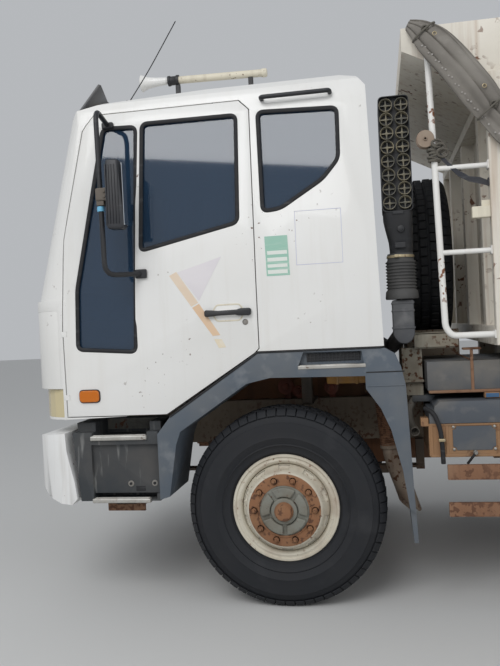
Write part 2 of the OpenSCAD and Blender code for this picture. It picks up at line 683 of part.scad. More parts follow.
module roof_fittings() {
  color("#3b3d40") at_front() {
    // sun visor on its brackets
    front_visor = [[1060, 3015], [1078, 3022], [1238, 2816], [1220, 2808]];
    side_plate(front_visor, -760, 760);
    both() translate([1150, 755, 0]) rotate([0, 0, 14]) translate([-1150, 0, 0]) side_plate(front_visor, 0, 330);
    both() side_plate([[965, 2866], [1100, 2839], [1195, 2771], [1225, 2812], [1075, 3000]], 700, 712);
    // air horn
    bar([30, 900, 3070], [664, 900, 3085], 22);
    translate([660, 900, 3085]) rotate([0, 90, 0]) cylinder(h = 120, r1 = 24, r2 = 48);
    for (q = [[120, 2904], [560, 2891]]) block([q[0] - 12, 892, q[1]], [q[0] + 12, 908, 3065]);
    // whip aerial
    translate([835, 1040, 2875]) cylinder(h = 22, r = 16);
    bar([835, 1040, 2885], [520, 1040, 3340], 5);
    // grab rail above the rear window
    both() bar([20, half_w - 28, 2790], [-350, half_w - 28, 2790], 12);
    both() for (x = [20, -350]) bar([x, half_w - 50, 2790], [x, half_w - 20, 2790], 15);
  }
}
panel_x = -680;
panel_y = half_w - 95;
panel_half = 82;
tube_rows = 8;
tube_pitch = 74.5;
tube_r = 33;
module intake_panel() {
  front_z = 2130;
  color("#2b2f33") at_front() {
    // two columns of swirl tubes on the box's outer face
    difference() {
      block([panel_x - panel_half, half_w - 345, front_z], [panel_x + panel_half, panel_y, front_z + 30 + tube_rows * tube_pitch]);
      for (row = [0 : tube_rows - 1]) for (col = [-1, 1])
        translate([panel_x + col * panel_half / 2, 0, front_z + 15 + (row + 0.5) * tube_pitch]) difference() {
          y_cylinder(tube_r, panel_y - 30, panel_y + 10);
          y_cylinder(12, panel_y - 31, panel_y - 8);
        }
    }
    hull() {
      block([panel_x - panel_half + 2, half_w - 340, front_z - 2], [panel_x + panel_half - 2, panel_y - 5, front_z + 2]);
      translate([duct_x, duct_y, 1915]) cylinder(h = 6, r = 66, $fn = 32);
    }
    translate([duct_x, duct_y, bellows_z]) rotate_extrude() polygon(concat(
      [[52, 0], [92, 0], [92, 50]],
      [for (i = [0 : 9]) [i % 2 == 0 ? 74 : 82, 60 + i * 17]],
      [[68, 225], [68, 256], [52, 256]]));
    // brackets to the cab's back
    for (z = [2200, 2650]) block([panel_x + panel_half - 2, duct_y - 80, z], [cab_back(z) - clear, duct_y + 20, z + 40]);
  }
}
seat_y = 640;
seat_z = tunnel_top + 20;
bunk_half = half_w - 165;
module seats() {
  color("#33363d") at_front() both() {
    translate([0, seat_y, 0]) {
      block([150, -240, seat_z], [650, 240, seat_z + 140]);
      translate([170, 0, seat_z + 130]) rotate([0, -12, 0]) block([-110, -230, 0], [0, 230, 700]);
      side_plate([[250, floor_at(250)], [550, floor_at(550)], [550, seat_z + 1], [250, seat_z + 1]], -150, 150);
    }
  }
  // bunk behind the seats
  color("#33363d") at_front() block([-510, -bunk_half, tunnel_top + clear], [-60, bunk_half, tunnel_top + 100]);
}
module dashboard() {
  color("#26282c") at_front() {
    intersection() {
      cab_form(wall_t + clear);
      block([1150, -1080, firewall_top + 1], [1500, 1080, firewall_top + 160]);
    }
    // steering wheel on its column
    bar([1180, seat_y, firewall_top], [930, seat_y, firewall_top + 210], 30);
    translate([930, seat_y, firewall_top + 210]) rotate([0, -50, 0]) rotate_extrude($fn = 36) translate([215, 0]) circle(r = 14, $fn = 16);
    translate([930, seat_y, firewall_top + 210]) rotate([0, -50, 0]) for (a = [0, 120, 240]) rotate([0, 0, a]) bar([0, 0, 0], [215, 0, 0], 9);
  }
}

/* Bumper, steps and mudguards, from the front axle */
bumper_side = [
  [1179, 627], [1212, 593], [1279, 599], [1358, 629], [1432, 681], [1500, 755], [1540, 820], [front_overhang, 870],
  [1540, 925], [1500, 958], [1420, 985], [1238, 1000], [1232, 899], [1212, 812], [1192, 726]];
function bumper_plan(nose) = let (half = concat([[nose, 500], [nose - 20, 850]], arc([nose - 330, half_w - 250], 250, 18, 90, 5)))
  concat([[-200, half_w]], [[-200, -half_w]], mirror_y(half), half);
bumper_t = 30;
module bumper_form(t) {
  intersection() {
    side_plate(inset(bumper_side, t), -1300, 1300);
    translate([0, 0, 400]) linear_extrude(800) polygon(inset(bumper_plan(front_overhang), t));
  }
}
module bumper() {
  color("#e4e2dc") at_front() difference() {
    bumper_form(0);
    bumper_form(bumper_t);
    // recess of the towing jaw, open below for its pin
    block([1100, -110, 500], [1700, 110, rail_bottom + 130]);
    both() block([1400, 620, 760], [1700, 900, 915]);
    // room for the frame's front end
    block([1000, -rail_y - 12, rail_bottom - 20], [1360, rail_y + 12, 1100]);
  }
}
module lamps() {
  color("#dfe4e8") {
    // headlamps in the bumper
    at_front() both() block([1450, 620 + clear, 760 + clear], [1505, 900 - clear, 915 - clear]);
    // tail lamps on the rear beam
    both() block([frame_back_x - 95, 760, 830], [frame_back_x - 50 - clear, 1150, 940]);
  }
}
step_back = 690;
module step_panels() {
  color("#2e3236") at_front() both() {
    difference() {
      union() {
        side_plate([[1196, 1000], [step_back + clear, 1000], [step_back + clear, 612], [1160, 612]], half_w - 330, half_w - 12);
        side_plate([[1188, 999], [1190, 1050], [step_back + clear, 1050], [step_back + clear, 999]], half_w - 330, half_w - 75);
      }
      block([755, half_w - 260, 965], [1079, half_w, 1100]);
      // field set back, and the lower foot well
      block([step_back - 10, half_w - 36, 652], [1085, half_w, 930]);
      block([step_back + 20, half_w - 120, 620], [1085, half_w, 653]);
    }
    // tread plates
    block([757, half_w - 250, 956], [1077, half_w - 4, 966]);
    block([750, half_w - 190, 604], [1087, half_w - 2, 621]);
    // bracket to the frame
    block([880, rail_y + clear, 900], [960, half_w - 325, 960]);
  }
}
// Wheel arch: inner edge, then outer edge, x, z
arch_inner = [
  [634, 636], [584, 924], [557, cab_low - 101], [173, cab_under - 175], [40, cab_under - 147], [-468, cab_under - 155],
  [-469, cab_under - 223], [-542, 1094], [-590, 980],
  [-640, 768], [-669, 560]];
arch_outer = [
  [step_back, 619], [step_back, 985], [609, cab_low - 14], [150, cab_under - 43], [99, cab_under - 11],
  [-578, cab_under - 11], [-628, cab_under - 42], [-655, cab_under - 110], [-676, 1214],
  [-690, 768], [-698, 540]];
module mudguards() {
  color("#4b545e") {
    at_front() both() {
      side_plate(concat(arch_inner, flip(arch_outer)), half_w - 45, half_w - 2);
      // sheet over the tyre
      side_plate(concat(arch_inner, flip([for (q = arch_inner) q + 22 * unit(q - [0, 400])])), half_w - 400, half_w - 40);
      // flap and bracket
      side_plate([[-706, 374], [-684, 374], [-666, 600], [-698, 600]], half_w - 380, half_w - 30);
      block([-100, rail_y + clear, cab_under - 138], [-40, half_w - 395, cab_under - 108]);
    }
    // sheet over the four rear tyres
    both() {
      side_plate([
        [rear_axle_x[1] - 640, 900], [rear_axle_x[1] - 625, 895], [rear_axle_x[1] - 560, 1128],
        [rear_axle_x[0] + 560, 1128], [rear_axle_x[0] + 625, 895], [rear_axle_x[0] + 640, 900],
        [rear_axle_x[0] + 575, 1145], [rear_axle_x[1] - 575, 1145]], 620, half_w - 4);
      for (x = [rear_axle_x[0] + 590, rear_axle_x[1] - 590]) block([x - 20, rail_y + clear, 1040], [x + 20, 640, 1075]);
      for (x = [rear_axle_x[0] + 590, rear_axle_x[1] - 590]) block([x - 20, 620, 1030], [x + 20, 660, 1110]);
    }
  }
}

/* Boxes, tanks and bars on the sides, from the front axle */
module side_boxes() {
  color("#565d63") at_front() {
    // battery box with its round lid, left
    side_plate([[-790, 825], [-790, 1070], [-1500, 1070], [-1500, 825]], 700, half_w - 60);
    side_plate([[-814, 1000], [-818, 1090], [-846, 1116], [-1470, 1116], [-1506, 1090], [-1512, 1000]], 560, half_w - 45);
    block([-1460, rail_y + clear, 880], [-1400, 705, 960]);
    block([-940, rail_y + clear, 880], [-880, 705, 960]);
    // long box above it
    block([-1700, 450, 1165], [-795, 1100, 1320]);
    block([-1300, rail_y + clear, 1100], [-1240, 480, 1180]);
    // bracket behind the cab, left
    block([-880, rail_y + clear, 1085], [-720, 900, 1120]);
  }
}
// Rear end of the fuel tank, ahead of the rear wheels
tank_back = 950 - wheelbase;
module tanks() {
  color("#6e6a62") at_front() {
    // fuel tank, right
    translate([tank_back, 350 - half_w, 840]) rotate([0, 90, 0]) linear_extrude(-950 - tank_back) union() {
      square([420, 500], center = true);
      square([520, 400], center = true);
      for (a = [-1, 1]) for (b = [-1, 1]) translate([a * 210, b * 200]) circle(r = 50);
    }
    for (x = [tank_back + 150, -1100]) block([x - 30, 585 - half_w, 900], [x + 30, -rail_y - clear, 980]);
    // air tanks, left, behind the battery box
    for (y = [half_w - 605, half_w - 345]) bar([tank_back - 50, y, 860], [-1650, y, 860], 118);
    for (x = [tank_back + 50, -1800]) block([x - 25, rail_y + clear, 965], [x + 25, half_w - 235, 990]);
  }
}
module guard_bars() {
  color("#8a5f45") {
    at_front() both() {
      block([tank_back - 250, half_w - 45, 708], [-870, half_w - 20, 786]);
      block([tank_back - 250, half_w - 45, 515], [-870, half_w - 20, 588]);
      for (x = [tank_back - 100, -1350]) {
        block([x - 30, half_w - 75, 515], [x + 30, half_w - 45, 786]);
        block([x - 25, rail_y - 60, 520], [x + 25, half_w - 75, 560]);
        block([x - 25, rail_y - 60, 520], [x + 25, rail_y, rail_bottom - clear]);
      }
    }
    // rear guard bar on its drop arms
    block([frame_back_x - 60, -1150, 480], [frame_back_x, 1150, 600]);
    both() block([frame_back_x - 50, rail_y - 60, 590], [frame_back_x + 30, rail_y, rail_bottom - clear]);
    // rear beam with the bolt holes of a towing coupling
    difference() {
      block([frame_back_x - 50, -1170, 700], [frame_back_x - clear, 1170, 960]);
      for (y = [-80, 80]) for (z = [780, 880])
        translate([frame_back_x - 60, y, z]) rotate([0, 90, 0]) cylinder(h = 70, r = 10.5);
    }
  }
}

/* Spare wheel, standing crosswise behind the cab */
spare_x = -875;
spare_z = 1210 + tyre_r + 180;
module spare_stand() {
  at_front() {
    block([spare_x - 180, -rail_y, frame_top], [spare_x + 200, rail_y, frame_top + 60]);
    // cradle, cut to the tyre's round
    difference() {
      block([spare_x - 170, -380, frame_top + 59], [spare_x + 150, 380, spare_z - tyre_r + 90]);
      translate([spare_x - 200, 0, spare_z]) rotate([0, 90, 0]) cylinder(h = 500, r = tyre_r + clear);
      block([spare_x - 120, -340, frame_top + 70], [spare_x + 110, 340, spare_z]);
    }
    // upright and clamp on the wheel's disc
    block([spare_x + twin_spacing / 2 + clear, -60, frame_top + 59], [spare_x + twin_spacing / 2 + 30, 60, spare_z + 190]);
  }
}
module spare_place() { at_front() translate([spare_x, 0, spare_z]) rotate([0, 0, 90]) translate([0, 0, -wheel_z]) children(); }
module spare_tyre() { color("#1d2024") spare_place() tyre(0); }
module spare_rim() { color("#d8d2c2") spare_place() rim(0, -1); }

/* Load body */
module body_floor() {
  color("#d9d4c8") {
    block([body_back_x + gate_t + 10, -half_w + post_d + sheet_t, floor_under], [body_front_x - 95, half_w - post_d - sheet_t, floor_top]);
    for (i = [0 : 9]) let (x = body_back_x + 200 + i * (body_front_x - body_back_x - 400) / 9)
      block([x - 40, -half_w + post_d + sheet_t, beam_top], [x + 40, half_w - post_d - sheet_t, floor_under]);
    both() difference() {
      block([body_back_x + 150, beam_y - beam_w / 2, beam_under], [body_front_x - 120, beam_y + beam_w / 2, beam_top]);
      block([body_back_x + 100, beam_y - beam_w, beam_under - 50], [hinge_x - 60, beam_y + beam_w, beam_under + 60]);
      translate([hinge_x, 0, hinge_z]) y_cylinder(30.3, beam_y - beam_w, beam_y + beam_w);
    }
    // hinge pins, through the ears
    both() translate([hinge_x, 0, hinge_z]) y_cylinder(29.7, beam_y - beam_w / 2 - 55, beam_y + beam_w / 2 + 10);
    // cross beam that the hoist's rod pushes on
    difference() {
      block([hoist_x - 150, -beam_y + beam_w / 2 - 1, beam_top - 100], [hoist_x + 150, beam_y - beam_w / 2 + 1, beam_top]);
      block([hoist_x - 110, -95, beam_top - 110], [hoist_x + 110, 95, beam_top - 12]);
    }
  }
}
module body_sides() {
  posts = 9;
  color("#dedad0") both() difference() {
    union() {
    block([body_back_x, half_w - post_d - sheet_t, floor_under - 70], [body_front_x, half_w - post_d, side_top]);
    block([body_back_x, half_w - post_d - 1, side_top - 90], [body_front_x, half_w, side_top]);
    block([body_back_x, half_w - post_d - 1, floor_under - 70], [body_front_x, half_w, floor_top + 30]);
    for (i = [0 : posts - 1]) let (x = body_back_x + post_w / 2 + i * (body_front_x - body_back_x - post_w) / (posts - 1))
      block([x - post_w / 2, half_w - post_d - 1, floor_top], [x + post_w / 2, half_w, side_top - 50]);
    }
    translate([gate_hinge_x, 0, gate_hinge_z]) y_cylinder(gate_pin_r + clear, half_w - 200, half_w + 10);
  }
}
wall_top = 2770;
rib_spacing = 780;
lip_low = 2965;
module body_front() {
  inner = half_w - post_d - sheet_t - clear;
  color("#dedad0") {
    block([body_front_x - 95, -inner, floor_under - 70], [body_front_x - 85, inner, wall_top]);
    for (y = [-rib_spacing, 0, rib_spacing])
      block([body_front_x - 86, y - 45, floor_under - 60], [body_front_x - 10, y + 45, wall_top]);
    block([body_front_x - 86, -inner, wall_top - 70], [body_front_x, inner, wall_top]);
    block([body_front_x - 86, -inner, floor_under - 70], [body_front_x, inner, floor_top + 20]);
    // canopy, rising forwards to its lip
    at_front() side_plate([
      [-body_front_back - 60, wall_top - 10], [-body_front_back + 8, wall_top - 10], [-lip_back, lip_low],
      [-lip_back, canopy_top], [-lip_back - 22, canopy_top], [-lip_back - 22, lip_low - 8],
      [-body_front_back - 1, wall_top - 2], [-body_front_back - 60, wall_top - 2]], -inner, inner);
    // side gussets of the canopy
    at_front() both() side_plate([
      [-body_front_back + 8, wall_top - 10], [-lip_back, lip_low], [-lip_back, canopy_top],
      [-body_front_back - 120, canopy_top], [-body_front_back - 620, side_top + clear],
      [-body_front_back + clear, side_top + clear], [-body_front_back + clear, wall_top - 10]], inner - 1, inner + sheet_t);
  }
}
module ladder() {
  y = half_w - post_d + 17;
  color("#e8e6e0") at_front() {
    bar([-864, y, 2915], [-893, y, 1500], 17);
    bar([-893, y, 1500], [-930, y, 1459], 17);
    for (q = [[-893, 1500], [-930, 1459]]) translate([q[0], y, q[1]]) sphere(r = 19, $fn = 24);
    bar([-930, y, 1459], [-body_front_back, y, 1459], 17);
    for (z = [1893, 2332]) bar([-882, y, z], [-body_front_back, y, z], 13);
  }
}
// Bunched tarpaulin along the left side: x, z, half height, half thickness, how far it comes in over the side's face
tarp_route = [
  [-790, 3068, 42, 46, 50], [-870, 2990, 95, 48, 15], [-975, 2860, 120, 48, 0], [-1080, 2715, 125, 45, 0],
  [-1190, 2565, 125, 42, 0], [-1330, 2450, 120, 40, 0], [-1700, 2400, 110, 40, 0], [-2600, 2390, 105, 40, 0], [-3800, 2400, 105, 40, 0],
  [-5000, 2390, 105, 40, 0], [-6150, 2400, 90, 36, 0]];
module tarpaulin() {
  sides = 12;
  rings = [for (q = tarp_route) let (y = half_w + clear + q[3] - q[4], slant = q[0] > -1300 ? 0.55 : 0)
    [for (i = [0 : sides - 1]) let (a = i * 360 / sides)
      [q[0] + slant * q[2] * cos(a), y + q[3] * sin(a), q[1] + q[2] * cos(a)]]];
  n = len(tarp_route);
  color("#77716a") at_front() polyhedron(
    points = [for (r = rings) for (p = r) p],
    faces = concat(
      [[for (s = [sides - 1 : -1 : 0]) s]],
      [for (k = [0 : n - 2]) for (s = [0 : sides - 1]) let (a = k * sides + s, b = k * sides + (s + 1) % sides)
        [a, b, b + sides, a + sides]],
      [[for (s = [0 : sides - 1]) (n - 1) * sides + s]]));
}
module tailgate() {
  inner = half_w - post_d - sheet_t - 6;
  color("#d6d1c4") {
    block([body_back_x + 30, -inner, floor_top - 40], [body_back_x + 40, inner, side_top - 20]);
    for (z = [floor_top - 40, 1780, 2120, 2460, side_top - 100]) block([body_back_x, -inner, z], [body_back_x + 31, inner, z + 80]);
    for (y = [-inner, -400, 310, inner - 90]) block([body_back_x, y, floor_top - 40], [body_back_x + 31, y + 90, side_top - 20]);
    both() translate([gate_hinge_x, 0, gate_hinge_z]) y_cylinder(gate_pin_r, inner - 40, half_w + 8);
  }
}

/* Hoist */
module hoist_barrel() {
  color("#6c6f70") translate([hoist_x, 0, trunnion_z]) {
    difference() {
      translate([0, 0, -barrel_foot]) cylinder(h = barrel_foot + hoist_closed - 75, r = hoist_r[0]);
      translate([0, 0, -barrel_foot + 12]) cylinder(h = barrel_foot + hoist_closed, r = hoist_r[1] + clear);
    }
    y_cylinder(trunnion_r, -rail_y + rail_t + 10, -hoist_r[0] + 4);
    y_cylinder(trunnion_r, hoist_r[0] - 4, rail_y - rail_t - 10);
  }
}
module stage(i) {
  top = hoist_closed - 75 + i * 8;
  translate([hoist_x, 0, trunnion_z]) difference() {
    translate([0, 0, -barrel_foot + 12 + i * 6]) cylinder(h = barrel_foot + top - 12 - i * 6, r = hoist_r[i]);
    translate([0, 0, -barrel_foot + 18 + i * 6]) cylinder(h = 2000, r = hoist_r[i + 1] + clear);
  }
}
module hoist_stage_1() { color("#9aa0a3") stage(1); }
module hoist_stage_2() { color("#9aa0a3") stage(2); }
module hoist_rod() {
  color("#b4b8ba") translate([hoist_x, 0, trunnion_z]) {
    translate([0, 0, -barrel_foot + 30]) cylinder(h = barrel_foot - 30 + hoist_closed - 30, r = hoist_r[3]);
    translate([0, 0, hoist_closed]) y_cylinder(40, -50, 50);
    block([-35, -40, hoist_closed - 50], [35, 40, hoist_closed]);
  }
}

frame_rails();
cross_members();
subframe();
front_axle();
rear_axles();
bogie_springs();
engine();
exhaust();
intake_duct();
bumper();
lamps();
step_panels();
mudguards();
side_boxes();
tanks();
guard_bars();
spare_tyre();
spare_rim();
knuckle_left();
knuckle_right();
tie_rod();
tyre_front_left();
tyre_front_right();
rim_front_left();
rim_front_right();
tyres_rear_1_left();
tyres_rear_1_right();
tyres_rear_2_left();
tyres_rear_2_right();
rims_rear_1_left();
rims_rear_1_right();
rims_rear_2_left();
rims_rear_2_right();
cab_shell();
cab_floor();
cab_front();
cab_glass();
grille();
corner_lamps();
roof_fittings();
intake_panel();
seats();
dashboard();
door_left();
door_right();
door_glass_left();
door_glass_right();
mirror_left();
mirror_right();
body_floor();
body_sides();
body_front();
ladder();
tarpaulin();
tailgate();
hoist_barrel();
hoist_stage_1();
hoist_stage_2();
hoist_rod();
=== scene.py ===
# Three-axle tipper truck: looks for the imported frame. Metres, +X forward, +Y the truck's left.
import math
import bpy
from mathutils import Matrix, Vector
from mathutils.bvhtree import BVHTree


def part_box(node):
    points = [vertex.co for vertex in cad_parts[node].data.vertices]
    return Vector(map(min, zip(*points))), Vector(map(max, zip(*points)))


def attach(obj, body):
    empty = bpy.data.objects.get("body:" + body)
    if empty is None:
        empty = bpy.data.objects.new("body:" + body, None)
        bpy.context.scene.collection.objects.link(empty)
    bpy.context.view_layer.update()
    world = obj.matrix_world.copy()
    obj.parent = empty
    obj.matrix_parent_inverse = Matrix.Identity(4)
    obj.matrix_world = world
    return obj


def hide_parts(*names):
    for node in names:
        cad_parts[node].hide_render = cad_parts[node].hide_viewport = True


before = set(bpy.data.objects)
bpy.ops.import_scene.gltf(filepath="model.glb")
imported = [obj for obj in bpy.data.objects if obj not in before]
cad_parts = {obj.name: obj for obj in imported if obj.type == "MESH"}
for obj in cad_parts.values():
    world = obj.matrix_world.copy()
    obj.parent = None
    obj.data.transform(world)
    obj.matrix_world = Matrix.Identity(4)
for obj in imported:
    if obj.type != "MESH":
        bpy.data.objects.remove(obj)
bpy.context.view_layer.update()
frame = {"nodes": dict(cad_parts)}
nodes = frame["nodes"]


axleX = sum(c[0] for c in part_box("tyre_front_left")) / 2  # front wheel centre
halfW = 1.245  # cab and load body, from the centre line
waist = {"z": 1.8, "lean": 0.04, "rise": 0.94}  # the cab's side leans in above it, and stops leaning at the roof
weld = {"lathe": 0.00002, "copies": 0.00001, "node": 0.00005}  # points closer than this become one
print("front wheel's centre at x = %.3f" % axleX)
print("frame loaded")


# helpers for modelling

def deselectAll():
    if bpy.context.object and bpy.context.object.mode != "OBJECT":
        bpy.ops.object.mode_set(mode="OBJECT")
    bpy.ops.object.select_all(action="DESELECT")


def activate(*pieces):
    deselectAll()
    for piece in pieces:
        piece.select_set(True)
    bpy.context.view_layer.objects.active = pieces[0]


def editMode(piece, select="SELECT"):
    activate(piece)
    bpy.ops.object.mode_set(mode="EDIT")
    bpy.ops.mesh.select_all(action=select)


def objectMode():
    bpy.ops.object.mode_set(mode="OBJECT")


def fromAxle(spot):
    # a place counted from the front wheel's centre, in the frame
    return (spot[0] + axleX, spot[1], spot[2])


def linked(name, data):
    piece = bpy.data.objects.new(name, data)
    bpy.context.collection.objects.link(piece)
    return piece


def placed(piece):
    activate(piece)
    bpy.ops.object.transform_apply(location=True, rotation=True, scale=True)
    return piece


def modify(piece, kind, **settings):
    activate(piece)
    mod = piece.modifiers.new(kind.lower(), kind)
    for key, value in settings.items():
        setattr(mod, key, value)
    bpy.ops.object.modifier_apply(modifier=mod.name)
    return piece


def bevelled(piece, width, segments=2, angle=35):
    return modify(piece, "BEVEL", width=width, segments=segments, limit_method="ANGLE", angle_limit=math.radians(angle))


def smoothed(piece, angle=35):
    activate(piece)
    bpy.ops.object.shade_smooth_by_angle(angle=math.radians(angle))
    return piece


def wearOn(piece, body, finish, *replaced):
    # the piece's finish, the body that it rides on and the nodes that it stands for
    piece.data.materials.clear()
    piece.data.materials.append(finishes[finish])
    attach(piece, body)
    if replaced:
        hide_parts(*replaced)
    return piece


def mirrored(piece, name):
    # copy on the truck's other side, with its faces turned back outwards
    activate(piece)
    bpy.ops.object.duplicate()
    copy = bpy.context.object
    copy.name = name
    bpy.ops.transform.resize(value=(1, -1, 1), center_override=(0, 0, 0))
    placed(copy)
    editMode(copy)
    bpy.ops.mesh.flip_normals()
    objectMode()
    return copy


def bothSides(piece, body, finish, *replaced):
    # a left piece and its mirrored copy, which rides on the right body and stands for the right nodes
    wearOn(piece, body, finish, *replaced)
    name = piece.name.replace("Left", "Right") if "Left" in piece.name else piece.name + "Right"
    other = mirrored(piece, name)
    return wearOn(other, body.replace("left", "right"), finish, *[node.replace("left", "right") for node in replaced])


def outlined(name, outline, plane, start, depth):
    # a filled outline in a plane, pushed along the third axis; x counts from the front wheel's centre
    deselectAll()
    bpy.ops.mesh.primitive_circle_add(vertices=len(outline), fill_type="NGON")
    piece = bpy.context.object
    piece.name = name
    third = next(axis for axis in "xyz" if axis not in plane)
    for vertex, (a, b) in zip(piece.data.vertices, outline):
        spot = {plane[0]: a, plane[1]: b, third: start}
        vertex.co = (spot["x"] + axleX, spot["y"], spot["z"])
    if depth:
        push = [0, 0, 0]
        push["xyz".index(third)] = depth
        editMode(piece)
        bpy.ops.mesh.extrude_region_move(TRANSFORM_OT_translate={"value": push})
        bpy.ops.mesh.select_all(action="SELECT")
        bpy.ops.mesh.normals_make_consistent(inside=False)
        objectMode()
    return piece


def boxed(name, low, high, bevel=0.003):
    # a block between two corners with its edges rounded
    deselectAll()
    middle = [(a + b) / 2 for a, b in zip(low, high)]
    bpy.ops.mesh.primitive_cube_add(size=1, location=fromAxle(middle), scale=[abs(b - a) for a, b in zip(low, high)])
    piece = bpy.context.object
    piece.name = name
    placed(piece)
    return bevelled(piece, bevel) if bevel else piece


def lathed(name, profile, centre, axis="y", steps=48):
    # outline of (radius, distance along the axis), spun round a centre
    deselectAll()
    bpy.ops.mesh.primitive_circle_add(vertices=len(profile), fill_type="NOTHING")
    piece = bpy.context.object
    piece.name = name
    middle = Vector(fromAxle(centre))
    along = Vector([1.0 if a == axis else 0.0 for a in "xyz"])
    outward = Vector((1, 0, 0)) if axis == "z" else Vector((0, 0, 1))
    for vertex, (radius, far) in zip(piece.data.vertices, profile):
        vertex.co = middle + along * far + outward * radius
    editMode(piece)
    bpy.ops.mesh.spin(steps=steps, angle=math.tau, center=middle, axis=along)
    bpy.ops.mesh.select_all(action="SELECT")
    bpy.ops.mesh.remove_doubles(threshold=weld["lathe"])
    bpy.ops.mesh.normals_make_consistent(inside=False)
    objectMode()
    return smoothed(piece, 40)


def repeated(piece, count, centre, axis=(0, 1, 0)):
    # copies of the piece's mesh round a centre, in the same piece
    editMode(piece)
    bpy.ops.mesh.spin(steps=count, dupli=True, angle=math.tau, center=fromAxle(centre), axis=axis)
    bpy.ops.mesh.select_all(action="SELECT")
    bpy.ops.mesh.remove_doubles(threshold=weld["copies"])
    objectMode()
    return piece


def tubed(name, points, radius, sides=12, closed=False, capped=True):
    # a round bar through the points; a fourth number multiplies the radius there
    curve = bpy.data.curves.new(name, "CURVE")
    curve.dimensions = "3D"
    curve.bevel_depth = radius
    curve.bevel_resolution = sides // 4
    curve.use_fill_caps = capped and not closed
    spline = curve.splines.new("POLY")
    spline.points.add(len(points) - 1)
    for spot, point in zip(spline.points, points):
        spot.co = (*fromAxle(point), 1)
        spot.radius = point[3] if len(point) > 3 else 1
    spline.use_cyclic_u = closed
    activate(linked(name, curve))
    bpy.ops.object.convert(target="MESH")
    return smoothed(bpy.context.object, 50)


def rounded(points, radius, steps=5, closed=True):
    # the same line with its corners rounded
    line = []
    spots = [Vector(p) for p in points]
    for i, spot in enumerate(spots):
        if not closed and i in (0, len(spots) - 1):
            line.append(tuple(spot))
            continue
        back, ahead = spots[i - 1] - spot, spots[(i + 1) % len(spots)] - spot
        reach = min(radius, back.length * 0.45, ahead.length * 0.45)
        start, end = spot + back.normalized() * reach, spot + ahead.normalized() * reach
        for k in range(steps + 1):
            t = k / steps
            line.append(tuple(start * (1 - t) ** 2 + spot * 2 * t * (1 - t) + end * t * t))
    return line


def joined(name, *pieces):
    activate(*pieces)
    if len(pieces) > 1:
        bpy.ops.object.join()
    bpy.context.object.name = name
    return bpy.context.object


def sideY(z):
    # the cab's side face at a height
    return halfW - waist["lean"] * max(0.0, min(1.0, (z - waist["z"]) / waist["rise"]))


def ontoSide(piece, lift=0.0):
    # leans a flat piece with the cab's side, bent at the waist line
    editMode(piece)
    bpy.ops.mesh.bisect(plane_co=(0, 0, waist["z"]), plane_no=(0, 0, 1))
    objectMode()
    for vertex in piece.data.vertices:
        vertex.co.y += sideY(vertex.co.z) + lift
    return piece


softEdge = {"segments": 3, "sharp": 28, "shortest": 0.03, "flat": 1.0}


def softened(node, body, finish, width):
    # a CAD node's own shape with its long edges rounded
    piece = linked(node + "Dressed", nodes[node].data.copy())
    editMode(piece)
    bpy.ops.mesh.remove_doubles(threshold=weld["node"])
    bpy.ops.mesh.dissolve_limited(angle_limit=math.radians(softEdge["flat"]))
    bpy.ops.mesh.select_all(action="DESELECT")
    bpy.ops.mesh.select_mode(type="EDGE")
    bpy.ops.mesh.edges_select_sharp(sharpness=math.radians(softEdge["sharp"]))
    objectMode()
    spots = piece.data.vertices
    for edge in piece.data.edges:
        if (spots[edge.vertices[0]].co - spots[edge.vertices[1]].co).length < softEdge["shortest"]:
            edge.select = False
    bpy.ops.object.mode_set(mode="EDIT")
    bpy.ops.mesh.bevel(offset=width, segments=softEdge["segments"], affect="EDGES", clamp_overlap=True)
    bpy.ops.mesh.select_mode(type="VERT")
    objectMode()
    smoothed(piece, 35)
    return wearOn(piece, body, finish, node)


# materials: every pattern is on Object coordinates, in metres

def newFinish(name, colour, roughness=0.5, **sockets):
    mat = bpy.data.materials.new(name)
    mat.use_nodes = True
    mat.diffuse_color = (*colour, 1)
    shader = mat.node_tree.nodes["Principled BSDF"]
    shader.inputs["Base Color"].default_value = (*colour, 1)
    shader.inputs["Roughness"].default_value = roughness
    for key, value in sockets.items():
        shader.inputs[key.replace("_", " ").title()].default_value = value
    return mat


def grain(mat, scale, stretch=(1, 1, 1), detail=5):
    # noise in the piece's own metres
    nodes, links = mat.node_tree.nodes, mat.node_tree.links
    coord, mapping, noise = (nodes.new("ShaderNode" + kind) for kind in ("TexCoord", "Mapping", "TexNoise"))
    mapping.inputs["Scale"].default_value = stretch
    noise.inputs["Scale"].default_value = scale
    noise.inputs["Detail"].default_value = detail
    links.new(coord.outputs["Object"], mapping.inputs["Vector"])
    links.new(mapping.outputs["Vector"], noise.inputs["Vector"])
    return noise.outputs["Fac"]


def between(mat, value, low, high):
    # 0 below low, 1 above high
    span = mat.node_tree.nodes.new("ShaderNodeMapRange")
    span.inputs["From Min"].default_value = low
    span.inputs["From Max"].default_value = high
    mat.node_tree.links.new(value, span.inputs["Value"])
    return span.outputs["Result"]


def times(mat, a, b):
    node = mat.node_tree.nodes.new("ShaderNodeMath")
    node.operation = "MULTIPLY"
    for socket, value in zip(node.inputs, (a, b)):
        if isinstance(value, (int, float)):
            socket.default_value = value
        else:
            mat.node_tree.links.new(value, socket)
    return node.outputs[0]


def blendIn(mat, mask, colour):
    # lays one more colour over what the shader has so far
    nodes, links = mat.node_tree.nodes, mat.node_tree.links
    shader = nodes["Principled BSDF"]
    mix = nodes.new("ShaderNodeMix")
    mix.data_type = "RGBA"
    base = shader.inputs["Base Color"]
    if base.is_linked:
        links.new(base.links[0].from_socket, mix.inputs[6])
    else:
        mix.inputs[6].default_value = base.default_value
    mix.inputs[7].default_value = (*colour, 1)
    links.new(mask, mix.inputs[0])
    links.new(mix.outputs[2], base)


